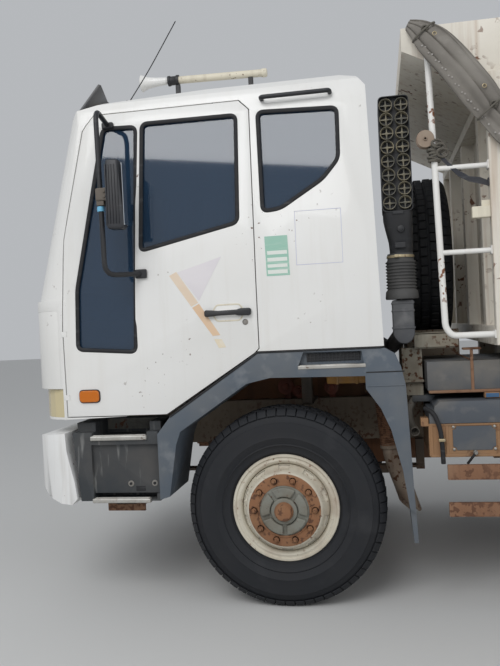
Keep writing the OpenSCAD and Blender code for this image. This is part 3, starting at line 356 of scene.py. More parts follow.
def unevenGloss(mat, value, low, high):
    # roughness that follows the value
    span = mat.node_tree.nodes.new("ShaderNodeMapRange")
    span.inputs["To Min"].default_value = low
    span.inputs["To Max"].default_value = high
    mat.node_tree.links.new(value, span.inputs["Value"])
    mat.node_tree.links.new(span.outputs["Result"], mat.node_tree.nodes["Principled BSDF"].inputs["Roughness"])


def bumped(mat, height, distance):
    # one more layer of relief, its depth in metres
    nodes, links = mat.node_tree.nodes, mat.node_tree.links
    bump = nodes.new("ShaderNodeBump")
    bump.inputs["Strength"].default_value = 1.0
    bump.inputs["Distance"].default_value = distance
    links.new(height, bump.inputs["Height"])
    normal = nodes["Principled BSDF"].inputs["Normal"]
    if normal.is_linked:
        links.new(normal.links[0].from_socket, bump.inputs["Normal"])
    links.new(bump.outputs["Normal"], normal)


paintLook = {
    "roughness": 0.4, "gloss": (-0.08, 0.2), "sockets": {}, "cloudScale": 2.2, "cloudBand": (0.4, 0.75), "dirt": 0.4,
    "dirtColour": (0.42, 0.38, 0.31), "runScale": 3.0, "runStretch": (9, 9, 0.5), "runBand": (0.52, 0.78), "runs": 0.35,
    "runColour": (0.33, 0.28, 0.22), "patchScale": 3.1, "patchFrom": 0.5, "patchEdge": 0.12, "chipScale": 38,
    "chipFrom": 0.64, "chipEdge": 0.03, "chipColour": (0.12, 0.055, 0.03), "bumpScale": 14, "bump": 0.0008,
}


def wornPaint(name, **changes):
    # paint: clouds of dirt, runs down it and chips that come in patches
    look = {**paintLook, **changes}
    mat = newFinish(name, look["paint"], look["roughness"], **look["sockets"])
    cloudy = grain(mat, look["cloudScale"])
    blendIn(mat, times(mat, between(mat, cloudy, *look["cloudBand"]), look["dirt"]), look["dirtColour"])
    runs = grain(mat, look["runScale"], stretch=look["runStretch"], detail=7)
    blendIn(mat, times(mat, between(mat, runs, *look["runBand"]), look["runs"]), look["runColour"])
    patches = between(mat, grain(mat, look["patchScale"]), look["patchFrom"], look["patchFrom"] + look["patchEdge"])
    chips = between(mat, grain(mat, look["chipScale"], detail=8), look["chipFrom"], look["chipFrom"] + look["chipEdge"])
    blendIn(mat, times(mat, patches, chips), look["chipColour"])
    unevenGloss(mat, cloudy, *[look["roughness"] + step for step in look["gloss"]])
    bumped(mat, grain(mat, look["bumpScale"]), look["bump"])
    return mat


plasticLook = {
    "roughness": 0.6, "gloss": (-0.1, 0.15), "sockets": {}, "dustScale": 4.0, "dustBand": (0.42, 0.72), "dust": 0.35,
    "dustColour": (0.2, 0.18, 0.15), "scuffScale": 5.0, "scuffStretch": (1, 1, 9), "scuffBand": (0.58, 0.74),
    "scuffs": 0.3, "scuffColour": (0.34, 0.35, 0.36), "grainScale": 420, "grain": 0.0003,
}


def moulded(name, **changes):
    # plastic, rubber or cloth: fine grain, pale scuffs and dust
    look = {**plasticLook, **changes}
    mat = newFinish(name, look["colour"], look["roughness"], **look["sockets"])
    dust = grain(mat, look["dustScale"], detail=6)
    blendIn(mat, times(mat, between(mat, dust, *look["dustBand"]), look["dust"]), look["dustColour"])
    scuffs = grain(mat, look["scuffScale"], stretch=look["scuffStretch"], detail=9)
    blendIn(mat, times(mat, between(mat, scuffs, *look["scuffBand"]), look["scuffs"]), look["scuffColour"])
    unevenGloss(mat, dust, *[look["roughness"] + step for step in look["gloss"]])
    bumped(mat, grain(mat, look["grainScale"], detail=2), look["grain"])
    return mat


finishes = {
    "cab": wornPaint("cabPaint", paint=(0.78, 0.775, 0.755), dirt=0.16, dirtColour=(0.6, 0.57, 0.5), runs=0.1,
        runColour=(0.5, 0.45, 0.36), chipFrom=0.67, patchFrom=0.56, roughness=0.32, bump=0.0004,
        sockets={"coat_weight": 0.25}),
    "bumperPaint": wornPaint("bumperPaint", paint=(0.8, 0.8, 0.79), dirt=0.15, dirtColour=(0.5, 0.48, 0.44),
        chipFrom=0.7, roughness=0.38),
    "bodyPaint": wornPaint("bodyPaint", paint=(0.74, 0.7, 0.62), dirt=0.4, dirtColour=(0.5, 0.44, 0.34), runs=0.5,
        runColour=(0.36, 0.22, 0.13), chipFrom=0.6, patchFrom=0.47, chipScale=24, chipColour=(0.16, 0.07, 0.035),
        roughness=0.55, bump=0.004),
    "rim": wornPaint("rimPaint", paint=(0.62, 0.58, 0.48), dirt=0.5, dirtColour=(0.34, 0.28, 0.2), runs=0.35,
        runStretch=(3, 3, 3), runColour=(0.2, 0.09, 0.045), chipFrom=0.63, patchFrom=0.5, chipScale=46,
        chipColour=(0.2, 0.1, 0.06), roughness=0.5, bump=0.001),
    "frame": wornPaint("framePaint", paint=(0.2, 0.16, 0.12), dirt=0.6, dirtColour=(0.3, 0.25, 0.19), runs=0.4,
        runColour=(0.1, 0.06, 0.04), chipFrom=0.55, patchFrom=0.4, roughness=0.7, bump=0.002),
    "rust": wornPaint("rustySteel", paint=(0.22, 0.11, 0.06), dirt=0.7, dirtColour=(0.3, 0.2, 0.13), runs=0.5,
        runColour=(0.09, 0.045, 0.03), chipFrom=0.52, patchFrom=0.4, roughness=0.8, bump=0.003, bumpScale=60),
    "cast": wornPaint("castIron", paint=(0.09, 0.075, 0.06), dirt=0.6, dirtColour=(0.2, 0.13, 0.08), runs=0.4,
        runColour=(0.04, 0.035, 0.03), chipFrom=0.55, patchFrom=0.4, roughness=0.65, bump=0.002, bumpScale=90),
    "engine": wornPaint("enginePaint", paint=(0.22, 0.09, 0.035), dirt=0.6, dirtColour=(0.08, 0.06, 0.045), runs=0.5,
        runColour=(0.03, 0.025, 0.02), roughness=0.6, bump=0.002),
    "tank": wornPaint("tankPaint", paint=(0.2, 0.19, 0.17), dirt=0.5, dirtColour=(0.33, 0.28, 0.22), runs=0.4,
        roughness=0.6, bump=0.001),
    "rustRing": wornPaint("rustedPlate", paint=(0.25, 0.115, 0.055), dirt=0.6, dirtColour=(0.3, 0.17, 0.09),
        cloudScale=9, runs=0.5, runStretch=(2, 2, 2), runColour=(0.13, 0.06, 0.035), chipFrom=0.55, patchFrom=0.42,
        roughness=0.8, bump=0.0015, bumpScale=70),
    "hub": wornPaint("hubPaint", paint=(0.2, 0.2, 0.17), dirt=0.6, dirtColour=(0.16, 0.13, 0.09), cloudScale=12,
        runs=0.5, runStretch=(3, 3, 3), runColour=(0.06, 0.05, 0.04), roughness=0.55, bump=0.0015, bumpScale=60),
    "rod": newFinish("hoistRod", (0.45, 0.45, 0.44), 0.25, metallic=1.0),
    "tyre": moulded("tyreRubber", colour=(0.008, 0.0095, 0.013), roughness=0.7, dust=0.3,
        dustColour=(0.032, 0.03, 0.03), scuffs=0.3, scuffColour=(0.05, 0.05, 0.054), scuffStretch=(1, 1, 1),
        grain=0.0005),
    "blackPlastic": moulded("blackPlastic", colour=(0.016, 0.017, 0.02), roughness=0.5, dust=0.35,
        dustColour=(0.06, 0.055, 0.05), scuffs=0.1),
    "stepPlastic": moulded("stepPlastic", colour=(0.035, 0.04, 0.045), roughness=0.6, dust=0.5,
        dustColour=(0.11, 0.1, 0.09), scuffs=0.6, scuffColour=(0.26, 0.26, 0.25), scuffStretch=(6, 6, 1)),
    "boxPlastic": moulded("boxPlastic", colour=(0.075, 0.085, 0.1), roughness=0.6, dust=0.7,
        dustColour=(0.19, 0.17, 0.14), scuffs=0.4, scuffColour=(0.24, 0.22, 0.2), scuffStretch=(2, 2, 2)),
    "guardPlastic": moulded("guardPlastic", colour=(0.085, 0.105, 0.13), roughness=0.55, dust=0.5,
        dustColour=(0.16, 0.16, 0.155), scuffs=0.45, scuffColour=(0.24, 0.25, 0.26), scuffStretch=(2, 2, 2)),
    "rubber": moulded("gasketRubber", colour=(0.01, 0.01, 0.012), roughness=0.7, dust=0.2,
        dustColour=(0.06, 0.06, 0.06), scuffs=0.1),
    "seat": moulded("seatCloth", colour=(0.035, 0.038, 0.05), roughness=0.9, dust=0.2, scuffs=0.05, grain=0.001),
    "tarp": moulded("tarpCanvas", colour=(0.19, 0.175, 0.155), roughness=0.92, dust=0.7,
        dustColour=(0.29, 0.27, 0.24), scuffs=0.35, scuffColour=(0.36, 0.34, 0.31), scuffStretch=(2, 2, 2),
        grain=0.0012),
    "mirrorShell": moulded("mirrorShell", colour=(0.022, 0.024, 0.03), roughness=0.42, dust=0.4,
        dustColour=(0.075, 0.07, 0.065), scuffs=0.15),
    "mirrorFace": newFinish("mirrorFace", (0.7, 0.72, 0.75), 0.05, metallic=1.0),
    "clampBox": moulded("clampBox", colour=(0.1, 0.085, 0.07), roughness=0.7, dust=0.6, dustColour=(0.2, 0.17, 0.14),
        scuffs=0.3),
    "tape": moulded("blueTape", colour=(0.16, 0.48, 0.72), roughness=0.45, dust=0.2, dustColour=(0.3, 0.4, 0.45),
        scuffs=0.1, grainScale=900),
    "visor": moulded("visorPlastic", colour=(0.05, 0.052, 0.056), roughness=0.35, dust=0.55,
        dustColour=(0.13, 0.12, 0.11), scuffs=0.2, grain=0.0001),
    "creamPaint": wornPaint("creamPaint", paint=(0.72, 0.67, 0.54), dirt=0.35, dirtColour=(0.45, 0.38, 0.28),
        chipFrom=0.63, patchFrom=0.5, roughness=0.5),
    "bareSteel": wornPaint("bareSteel", paint=(0.34, 0.33, 0.31), dirt=0.4, dirtColour=(0.2, 0.14, 0.1),
        chipFrom=0.62, patchFrom=0.5, roughness=0.35, sockets={"metallic": 0.8}),
    "peach": moulded("stripePeach", colour=(0.74, 0.6, 0.46), roughness=0.4, dust=0.3, dustColour=(0.72, 0.68, 0.6),
        scuffs=0.3, scuffColour=(0.76, 0.72, 0.66), grain=0.0),
    "peachDeep": moulded("stripePeachDeep", colour=(0.72, 0.5, 0.32), roughness=0.4, dust=0.4,
        dustColour=(0.74, 0.6, 0.46), scuffs=0.3, scuffColour=(0.76, 0.7, 0.62), grain=0.0),
    "peachPale": moulded("stripePeachPale", colour=(0.75, 0.62, 0.4), roughness=0.4, dust=0.5,
        dustColour=(0.76, 0.74, 0.7), scuffs=0.7, scuffColour=(0.78, 0.76, 0.72), scuffStretch=(2, 2, 2), grain=0.0),
    "lavender": moulded("stripeLavender", colour=(0.7, 0.665, 0.69), roughness=0.38, dust=0.6,
        dustColour=(0.77, 0.74, 0.74), scuffs=0.5, scuffColour=(0.78, 0.76, 0.745), scuffStretch=(1, 1, 1),
        grain=0.0),
    "noticeGreen": moulded("noticeGreen", colour=(0.3, 0.52, 0.42), roughness=0.45, dust=0.5,
        dustColour=(0.5, 0.62, 0.54), scuffs=0.4, scuffColour=(0.7, 0.72, 0.68), grain=0.0),
    "noticeWhite": moulded("noticeWhite", colour=(0.72, 0.75, 0.7), roughness=0.45, dust=0.3,
        dustColour=(0.5, 0.62, 0.54), scuffs=0.2, grain=0.0),
    "tubePlastic": moulded("tubePlastic", colour=(0.1, 0.095, 0.075), roughness=0.45, dust=0.9,
        dustColour=(0.3, 0.26, 0.17), dustScale=16, scuffs=0.3, scuffColour=(0.42, 0.38, 0.26),
        scuffStretch=(2, 2, 2)),
    "bellows": moulded("bellowsRubber", colour=(0.055, 0.055, 0.055), roughness=0.75, dust=0.7,
        dustColour=(0.13, 0.125, 0.12), scuffs=0.3, scuffColour=(0.18, 0.175, 0.17), scuffStretch=(1, 1, 1),
        grain=0.0004),
    "ductPlastic": moulded("ductPlastic", colour=(0.07, 0.073, 0.08), roughness=0.6, dust=0.6,
        dustColour=(0.16, 0.155, 0.15), scuffs=0.4, scuffColour=(0.22, 0.22, 0.22), scuffStretch=(2, 2, 2)),
    "brassBand": wornPaint("brassBand", paint=(0.5, 0.42, 0.27), dirt=0.4, dirtColour=(0.25, 0.18, 0.1),
        chipFrom=0.62, patchFrom=0.5, roughness=0.35, sockets={"metallic": 0.7}),
    "ladderPaint": wornPaint("ladderPaint", paint=(0.8, 0.79, 0.76), dirt=0.2, dirtColour=(0.5, 0.45, 0.36),
        runs=0.15, runColour=(0.36, 0.2, 0.1), patchScale=4.5, patchFrom=0.5, chipScale=34, chipFrom=0.55,
        chipColour=(0.2, 0.08, 0.035), roughness=0.45),
    "rope": moulded("ropeFibre", colour=(0.13, 0.12, 0.1), roughness=0.9, dust=0.6, dustColour=(0.1, 0.085, 0.07),
        scuffs=0.4, grainScale=700, grain=0.0015),
    "tarpStud": moulded("tarpStud", colour=(0.34, 0.32, 0.3), roughness=0.5, dust=0.6, dustColour=(0.2, 0.17, 0.14),
        dustScale=30, scuffs=0.3),
    "treadMetal": wornPaint("treadMetal", paint=(0.5, 0.49, 0.46), dirt=0.5, dirtColour=(0.26, 0.23, 0.19),
        cloudScale=9, runs=0.4, runStretch=(4, 4, 4), chipFrom=0.6, patchFrom=0.5, roughness=0.45,
        sockets={"metallic": 0.6}),
    "burntSteel": wornPaint("burntSteel", paint=(0.27, 0.2, 0.15), dirt=0.7, dirtColour=(0.4, 0.34, 0.27),
        cloudScale=6, runs=0.6, runColour=(0.12, 0.06, 0.04), chipFrom=0.58, patchFrom=0.45, roughness=0.6,
        bump=0.001, sockets={"metallic": 0.4}),
    "ochrePaint": wornPaint("ochrePaint", paint=(0.42, 0.2, 0.035), dirt=0.6, dirtColour=(0.2, 0.12, 0.06),
        cloudScale=9, runs=0.4, roughness=0.6),
    "redOxide": wornPaint("redOxide", paint=(0.2, 0.05, 0.03), dirt=0.6, dirtColour=(0.08, 0.05, 0.04), cloudScale=12,
        runs=0.4, roughness=0.7),
    "tanPaint": wornPaint("tanPaint", paint=(0.3, 0.165, 0.08), dirt=0.5, dirtColour=(0.2, 0.14, 0.09), cloudScale=7,
        runs=0.6, runColour=(0.18, 0.08, 0.04), chipFrom=0.58, patchFrom=0.45, roughness=0.7, bump=0.0012),
    "blueCase": moulded("blueCase", colour=(0.03, 0.12, 0.26), roughness=0.5, dust=0.4, scuffs=0.3),
    "weathered": wornPaint("weatheredSteel", paint=(0.4, 0.37, 0.3), dirt=0.8, dirtColour=(0.24, 0.2, 0.15),
        cloudScale=7, runs=0.5, runColour=(0.16, 0.1, 0.06), chipFrom=0.56, patchFrom=0.42, roughness=0.8, bump=0.002,
        bumpScale=40),
    "strapWeb": moulded("strapWebbing", colour=(0.035, 0.037, 0.045), roughness=0.85, dust=0.5,
        dustColour=(0.1, 0.09, 0.08), grain=0.0008),
    "concreteGrey": wornPaint("crustedPlate", paint=(0.17, 0.165, 0.15), dirt=0.9, dirtColour=(0.09, 0.085, 0.075),
        cloudScale=14, chipFrom=0.62, roughness=0.9, bump=0.003, bumpScale=60),
    "paleLine": moulded("paleBlueLine", colour=(0.52, 0.53, 0.68), roughness=0.5, dust=0.5,
        dustColour=(0.7, 0.69, 0.68)),
    "cornerLens": newFinish("cornerLens", (0.72, 0.62, 0.38), 0.12, transmission_weight=0.15, coat_weight=0.5),
    "glass": newFinish("cabGlass", (0.02, 0.045, 0.085), 0.04, alpha=0.78, coat_weight=1.0),
    "amber": newFinish("amberLens", (0.75, 0.2, 0.015), 0.15, transmission_weight=0.25),
    "redLens": newFinish("redLens", (0.5, 0.02, 0.015), 0.15, transmission_weight=0.2),
    "clearLens": newFinish("clearLens", (0.75, 0.68, 0.48), 0.12, transmission_weight=0.35),
}

nodeFinish = {
    "cab": ["cab_shell", "cab_floor", "cab_front", "door_left", "door_right"],
    "bumperPaint": ["bumper"],
    "bodyPaint": ["body_sides", "body_front", "body_floor", "tailgate", "ladder"],
    "rim": [n for n in nodes if n.startswith(("rim_", "rims_"))] + ["spare_rim"],
    "tyre": [n for n in nodes if n.startswith(("tyre_", "tyres_"))] + ["spare_tyre"],
    "frame": ["frame_rails", "cross_members", "subframe"],
    "rust": ["exhaust", "guard_bars"],
    "cast": ["front_axle", "rear_axles", "bogie_springs", "knuckle_left", "knuckle_right", "tie_rod", "hoist_barrel"],
    "engine": ["engine"],
    "tank": ["tanks"],
    "rod": ["hoist_stage_1", "hoist_stage_2", "hoist_rod"],
    "blackPlastic": [
        "mirror_left", "mirror_right", "roof_fittings", "intake_panel", "intake_duct", "grille", "dashboard"],
    "stepPlastic": ["step_panels"],
    "guardPlastic": ["mudguards", "side_boxes"],
    "seat": ["seats"],
    "tarp": ["tarpaulin"],
    "glass": ["cab_glass", "door_glass_left", "door_glass_right"],
    "clearLens": ["lamps"],
    "cornerLens": ["corner_lamps"],
}
for finish, names in nodeFinish.items():
    for name in names:
        nodes[name].data.materials.clear()
        nodes[name].data.materials.append(finishes[finish])
print("finishes on", sum(map(len, nodeFinish.values())), "of", len(nodes), "nodes")


# cab and body panels keep their CAD shape, with rounded edges

panels = {
    "cab_shell": ("cab", "cab", 0.014), "cab_front": ("cab", "cab", 0.01), "door_left": ("left_door", "cab", 0.003),
    "door_right": ("right_door", "cab", 0.003), "bumper": ("chassis", "bumperPaint", 0.014),
    "step_panels": ("chassis", "stepPlastic", 0.006), "mudguards": ("chassis", "guardPlastic", 0.006),
    "side_boxes": ("chassis", "boxPlastic", 0.007), "tanks": ("chassis", "tank", 0.01),
    "guard_bars": ("chassis", "rust", 0.006), "body_sides": ("load_body", "bodyPaint", 0.006),
    "body_front": ("load_body", "bodyPaint", 0.006), "tailgate": ("tailgate", "bodyPaint", 0.005),
    "engine": ("chassis", "engine", 0.012),
}
for node, (body, finish, width) in panels.items():
    softened(node, body, finish, width)
print("panels rounded:", len(panels))


# window gaskets, flattened rubber tubes on the window's edge

windows = {
    "radius": 0.012, "flat": 0.55, "sunk": 0.002, "corner": 0.035,
    "door": [(0.735, 2.008), (0.702, 2.720), (0.166, 2.717), (0.179, 2.128)],
    "vent": [(1.130, 1.474), (1.117, 1.813), (0.931, 2.714), (0.738, 2.707), (0.788, 1.448)],
    "rear": [(0.045, 2.721), (-0.383, 2.704), (-0.380, 2.430), (-0.291, 2.327), (-0.059, 2.186), (0.039, 2.177)],
}


def gasket(name, outline):
    line = rounded(outline, windows["corner"], 6)
    ring = tubed(name, [(x, 0, z) for x, z in line], windows["radius"], 12, closed=True)
    activate(ring)
    bpy.ops.transform.resize(value=(1, windows["flat"], 1), center_override=(0, 0, 0))
    placed(ring)
    for vertex in ring.data.vertices:
        vertex.co.y += sideY(vertex.co.z) - windows["sunk"]
    return ring


for label, body in (("door", "left_door"), ("vent", "left_door"), ("rear", "cab")):
    bothSides(gasket(label + "GasketLeft", windows[label]), body, "rubber")
print("window gaskets made")


# wheels: each is modelled once at the front left and copied to the other places

tyre = {
    "base": 0.533, "width": 0.300, "seat": 0.2545, "bead": 0.106, "blocks": 60, "blockLength": 0.0505, "bevel": 0.0025,
}
rimLook = {
    "flange": 0.297, "width": 0.236, "well": 0.244, "bore": 0.1405, "face": 0.165, "slots": 10, "slotSteps": 8,
    "holeReach": (0.209, 0.237), "holeTurn": (0.3, 0.7), "holeDeep": (0.09, 0.15), "holeLip": 0.0045, "holePush": 0.012,
    "nuts": 10, "nutCircle": 0.1675, "nut": 0.016, "lobes": 5,
}
frontWheel = (0.0, 1.045, 0.55)
wheelZ = frontWheel[2]


def tyrePiece(name):
    half = tyre["width"] / 2
    side = [(tyre["seat"], tyre["bead"] - 0.004), (0.2975, tyre["bead"]), (0.302, tyre["bead"] + 0.004),
        (0.312, tyre["bead"] + 0.018), (0.330, half - 0.022), (0.345, half - 0.016), (0.350, half - 0.011),
        (0.356, half - 0.015), (0.385, half - 0.004), (0.392, half - 0.001), (0.398, half - 0.003), (0.430, half),
        (0.465, half - 0.004), (0.474, half - 0.004), (0.478, half - 0.009), (0.500, half - 0.016),
        (0.518, half - 0.030), (tyre["base"], half - 0.046)]
    ring = side + [(r, -w) for r, w in reversed(side)]
    carcass = lathed(name, ring, frontWheel, "y", 96)
    # tread: shoulder lugs and inner blocks, one row copied round the tyre
    rows = [[(0.062, 0.536), (0.062, 0.5500), (0.088, 0.5500), (0.110, 0.5440), (0.130, 0.5225), (0.1375, 0.512),
        (0.127, 0.512), (0.108, 0.525)], [(0.008, 0.530), (0.008, 0.5500), (0.053, 0.5500), (0.053, 0.530)]]
    lugs = []
    for sign in (1, -1):
        for index, row in enumerate(rows):
            start = -tyre["blockLength"] / 2 + 0.022 * index + (0.03 if sign < 0 else 0)
            lug = outlined(name + "Lug", [(frontWheel[1] + sign * w, wheelZ + r) for w, r in row], "yz",
                start, tyre["blockLength"])
            lugs.append(bevelled(lug, tyre["bevel"], 1, 30))
    tread = repeated(joined(name + "Tread", *lugs), tyre["blocks"], frontWheel)
    smoothed(tread, 25)
    return joined(name, carcass, tread)


def rimPiece(name):
    # barrel with its loose side ring, and the disc with hand holes
    f, half, well = rimLook["flange"], rimLook["width"] / 2, rimLook["well"]
    barrel = lathed(name + "Barrel", [(well, -half), (f, -half), (f, -half + 0.012), (0.254, -half + 0.016),
        (0.254, half - 0.03), (f - 0.016, half - 0.024), (f - 0.002, half - 0.014), (f, half - 0.006),
        (f - 0.004, half), (f - 0.014, half + 0.001), (f - 0.020, half - 0.006), (f - 0.026, half - 0.006),
        (f - 0.034, half - 0.001), (f - 0.042, half - 0.004), (well + 0.002, half - 0.014),
        (well, half - 0.03)], frontWheel, "y", 96)
    steps = rimLook["slots"] * rimLook["slotSteps"]
    face = rimLook["face"]
    disc = lathed(name + "Disc", [(rimLook["bore"], face - 0.013), (0.196, face - 0.013), (0.206, face - 0.024),
        (0.226, 0.108), (well - 0.002, 0.068), (well + 0.001, 0.068), (well + 0.001, 0.084), (0.2385, 0.098),
        (0.2135, face - 0.022), (0.208, face - 0.006), (0.200, face), (rimLook["bore"], face)], frontWheel, "y", steps)
    # hand holes, cut where the disc slopes
    editMode(disc, "DESELECT")
    objectMode()
    for polygon in disc.data.polygons:
        place = polygon.center - Vector(fromAxle(frontWheel))
        radius = math.hypot(place.x, place.z)
        turn = (math.atan2(place.z, place.x) / math.tau * rimLook["slots"]) % 1
        held = zip((radius, turn, place.y), (rimLook["holeReach"], rimLook["holeTurn"], rimLook["holeDeep"]))
        if all(low < value < high for value, (low, high) in held):
            polygon.select = True
    bpy.ops.object.mode_set(mode="EDIT")
    bpy.ops.mesh.select_mode(type="FACE")
    bpy.ops.mesh.inset(thickness=rimLook["holeLip"])
    bpy.ops.mesh.extrude_region_move(TRANSFORM_OT_translate={"value": (0, -rimLook["holePush"], 0)})
    bpy.ops.mesh.select_mode(type="VERT")
    objectMode()
    return barrel, disc


def wheelSet():
    # the front wheel's pieces, each with its finish
    pieces = {"Tyre": (tyrePiece("frontLeftTyre"), "tyre"),
        "Rim": (joined("frontLeftRim", *rimPiece("frontLeft")), "rim")}
    face = frontWheel[1] + rimLook["face"]
    middle = (0, face, wheelZ)
    ring = lathed("frontLeftRing", [(rimLook["bore"] - 0.004, 0.0002), (0.196, 0.0002), (0.198, 0.003), (0.192, 0.006),
        (0.150, 0.006), (0.146, 0.011), (rimLook["bore"] - 0.004, 0.011)], middle, "y", 72)
    nuts = []
    for k in range(rimLook["nuts"]):
        a = math.tau * k / rimLook["nuts"]
        x, z = rimLook["nutCircle"] * math.cos(a), wheelZ + rimLook["nutCircle"] * math.sin(a)
        deselectAll()
        bpy.ops.mesh.primitive_cylinder_add(vertices=6, radius=rimLook["nut"], depth=0.02,
                                            location=fromAxle((x, face + 0.012, z)), rotation=(math.pi / 2, a, 0))
        nuts.append(bevelled(placed(bpy.context.object), 0.002, 1))
        nuts.append(lathed("stud", [(0, 0.001), (0.0075, 0.001), (0.0075, 0.032), (0.004, 0.036),
            (0, 0.036)], (x, face, z), "y", 10))
        nuts.append(lathed("washer", [(0, 0.002), (0.021, 0.002), (0.019, 0.006), (0, 0.006)], (x, face, z), "y", 16))
    pieces["Ring"] = (joined("frontLeftRingPlate", ring, *nuts), "rustRing")
    # hub with five lobes and its cap
    hub = lathed("frontLeftHub", [(0, -0.10), (0.12, -0.10), (0.12, -0.014), (0.138, -0.010), (0.139, 0.006),
        (0.132, 0.010), (0.076, 0.012), (0.070, 0.026), (0.060, 0.030), (0, 0.030)], middle, "y", 60)
    sector = [(0.078, -28), (0.078, -14), (0.078, 0), (0.078, 14), (0.078, 28), (0.129, 31), (0.129, 20), (0.129, 10),
        (0.129, 0), (0.129, -10), (0.129, -20), (0.129, -31)]
    lobe = outlined("lobe", [(r * math.sin(math.radians(a)), wheelZ + r * math.cos(math.radians(a)))
        for r, a in sector], "xz", face + 0.004, 0.026)
    lobe = repeated(bevelled(lobe, 0.007, 3, 30), rimLook["lobes"], middle)
    pieces["Hub"] = (joined("frontLeftHubLobes", hub, smoothed(lobe)), "hub")
    cap = lathed("frontLeftCap", [
        (0, 0.02), (0.052, 0.02), (0.052, 0.040), (0.047, 0.046), (0.045, 0.062), (0.040, 0.068), (0, 0.069)],
        middle, "y", 36)
    pieces["Cap"] = (cap, "rustRing")
    return pieces


def copied(piece, name, move=(0, 0, 0), flip=False):
    activate(piece)
    bpy.ops.object.duplicate()
    copy = bpy.context.object
    copy.name = name
    if flip:
        # faces the other way, about the wheel's middle
        bpy.ops.transform.resize(value=(1, -1, 1), center_override=fromAxle(frontWheel))
        placed(copy)
        editMode(copy)
        bpy.ops.mesh.flip_normals()
        objectMode()
    copy.location = move
    return placed(copy)


frontPieces = wheelSet()
rearAxles = {"1": -3.300, "2": -4.650}
rearTwin = {"outer": 1.090, "inner": 0.760, "ringProud": 0.016, "boltCircle": 0.095, "bolts": 10}
hubY = (rearTwin["outer"] + rearTwin["inner"]) / 2
for number, dx in rearAxles.items():
    label, body = "rear%sLeft" % number, "wheels_rear_%s_left" % number
    rims, tyres = [], []
    for twin in ("outer", "inner"):
        shift = (dx, rearTwin[twin] - frontWheel[1], 0)
        tyres.append(copied(frontPieces["Tyre"][0], label + twin + "Tyre", shift))
        rims.append(copied(frontPieces["Rim"][0], label + twin + "Rim", shift, flip=twin == "outer"))
    bothSides(joined(label + "Tyres", *tyres), body, "tyre", "tyres_rear_%s_left" % number)
    # twin wheels meet on the hub, with a longer hub of their own
    ringY = hubY - frontWheel[1] - rimLook["face"] + rearTwin["ringProud"]
    ring = copied(frontPieces["Ring"][0], label + "Ring", (dx, ringY, 0))
    middle = (dx, hubY, wheelZ)
    hub = lathed(label + "Hub", [(0, -0.2), (0.118, -0.2), (0.118, -0.030), (0.200, -0.030), (0.200, -0.014),
        (0.1405, -0.014), (0.1405, 0.028), (0.128, 0.050), (0.126, 0.172), (0.120, 0.186), (0.108, 0.196),
        (0, 0.196)], middle, "y", 60)
    bolt = lathed("bolt", [(0, 0.194), (0.010, 0.194), (0.010, 0.206), (0.008, 0.209), (0, 0.209)],
                  (dx + rearTwin["boltCircle"], hubY, wheelZ), "y", 6)
    hub = joined(label + "Hub", hub, repeated(bolt, rearTwin["bolts"], middle))
    bothSides(joined(label + "Rims", *rims), body, "rim", "rims_rear_%s_left" % number)
    bothSides(ring, body, "rustRing")
    bothSides(hub, body, "hub")
for label, (piece, finish) in frontPieces.items():
    replaced = {"Tyre": ["tyre_front_left"], "Rim": ["rim_front_left"]}.get(label, [])
    bothSides(piece, "wheel_front_left", finish, *replaced)
print("wheels made: a front pair and twins on", len(rearAxles), "rear axles")


# mirrors: a tube hoop on the door, a tall ribbed head and its clamp

mirror = {
    "reach": 1.435, "tube": 0.014, "bend": 0.07, "headFront": 0.840, "headBack": 0.738, "headLow": 2.105,
    "headTop": 2.478, "ribs": 5,
}


def mirrorSet():
    y, low, top = mirror["reach"], mirror["headLow"], mirror["headTop"]
    hoop = tubed("mirrorLeftHoop", rounded([
        (0.900, halfW - 0.040, 2.728), (0.880, y, 2.755), (0.872, y, 1.870), (0.735, halfW + 0.010, 1.880)],
        mirror["bend"], 7, closed=False), mirror["tube"], 16)
    feet = [boxed("foot", (0.865, halfW - 0.052, 2.708), (0.930, halfW - 0.016, 2.742), 0.006),
            boxed("foot", (0.700, halfW - 0.001, 1.855), (0.765, halfW + 0.018, 1.905), 0.006)]
    # head: rounded shell that leans a little, ribs down its outer face
    shell = outlined("head", [(mirror["headFront"] - 0.012, top), (mirror["headBack"] + 0.02, top - 0.004),
        (mirror["headBack"], low + 0.012), (mirror["headBack"] + 0.018, low),
        (mirror["headFront"] - 0.008, low + 0.004), (mirror["headFront"], low + 0.03)], "xz", y - 0.030, 0.072)
    shell = bevelled(shell, 0.014, 4, 40)
    parts = [shell]
    for k in range(mirror["ribs"]):
        x = mirror["headBack"] + 0.022 + k * 0.016
        parts.append(boxed("rib", (x, y + 0.036, low + 0.03), (x + 0.007, y + 0.0475, top - 0.03), 0.003))
    head = joined("mirrorLeftHead", *[smoothed(p) for p in parts])
    glass = boxed("mirrorLeftGlass", (mirror["headBack"] - 0.003, y - 0.024, low + 0.02),
        (mirror["headBack"] + 0.006, y + 0.036, top - 0.025), 0.006)
    clamp = [boxed("clampBlock", (0.822, y - 0.024, 2.262), (0.897, y + 0.026, 2.332), 0.009),
             boxed("clampBand", (0.850, y - 0.026, 2.238), (0.892, y + 0.024, 2.262), 0.004)]
    for z in (2.285, 2.312):
        clamp.append(lathed("clampBolt", [(0, 0.024), (0.008, 0.024), (0.008, 0.032),
            (0, 0.033)], (0.845, y, z), "y", 6))
    tape = lathed("mirrorLeftTape", [(0.0135, -0.013), (0.019, -0.013), (0.020, 0), (0.019, 0.013), (0.0135, 0.013)],
        (0.8765, y, 2.222), "z", 20)
    return [(joined("mirrorLeftHoop", hoop, *feet), "blackPlastic", "mirror_left"), (head, "mirrorShell"),
        (glass, "mirrorFace"), (joined("mirrorLeftClamp", *clamp), "clampBox"), (tape, "tape")]


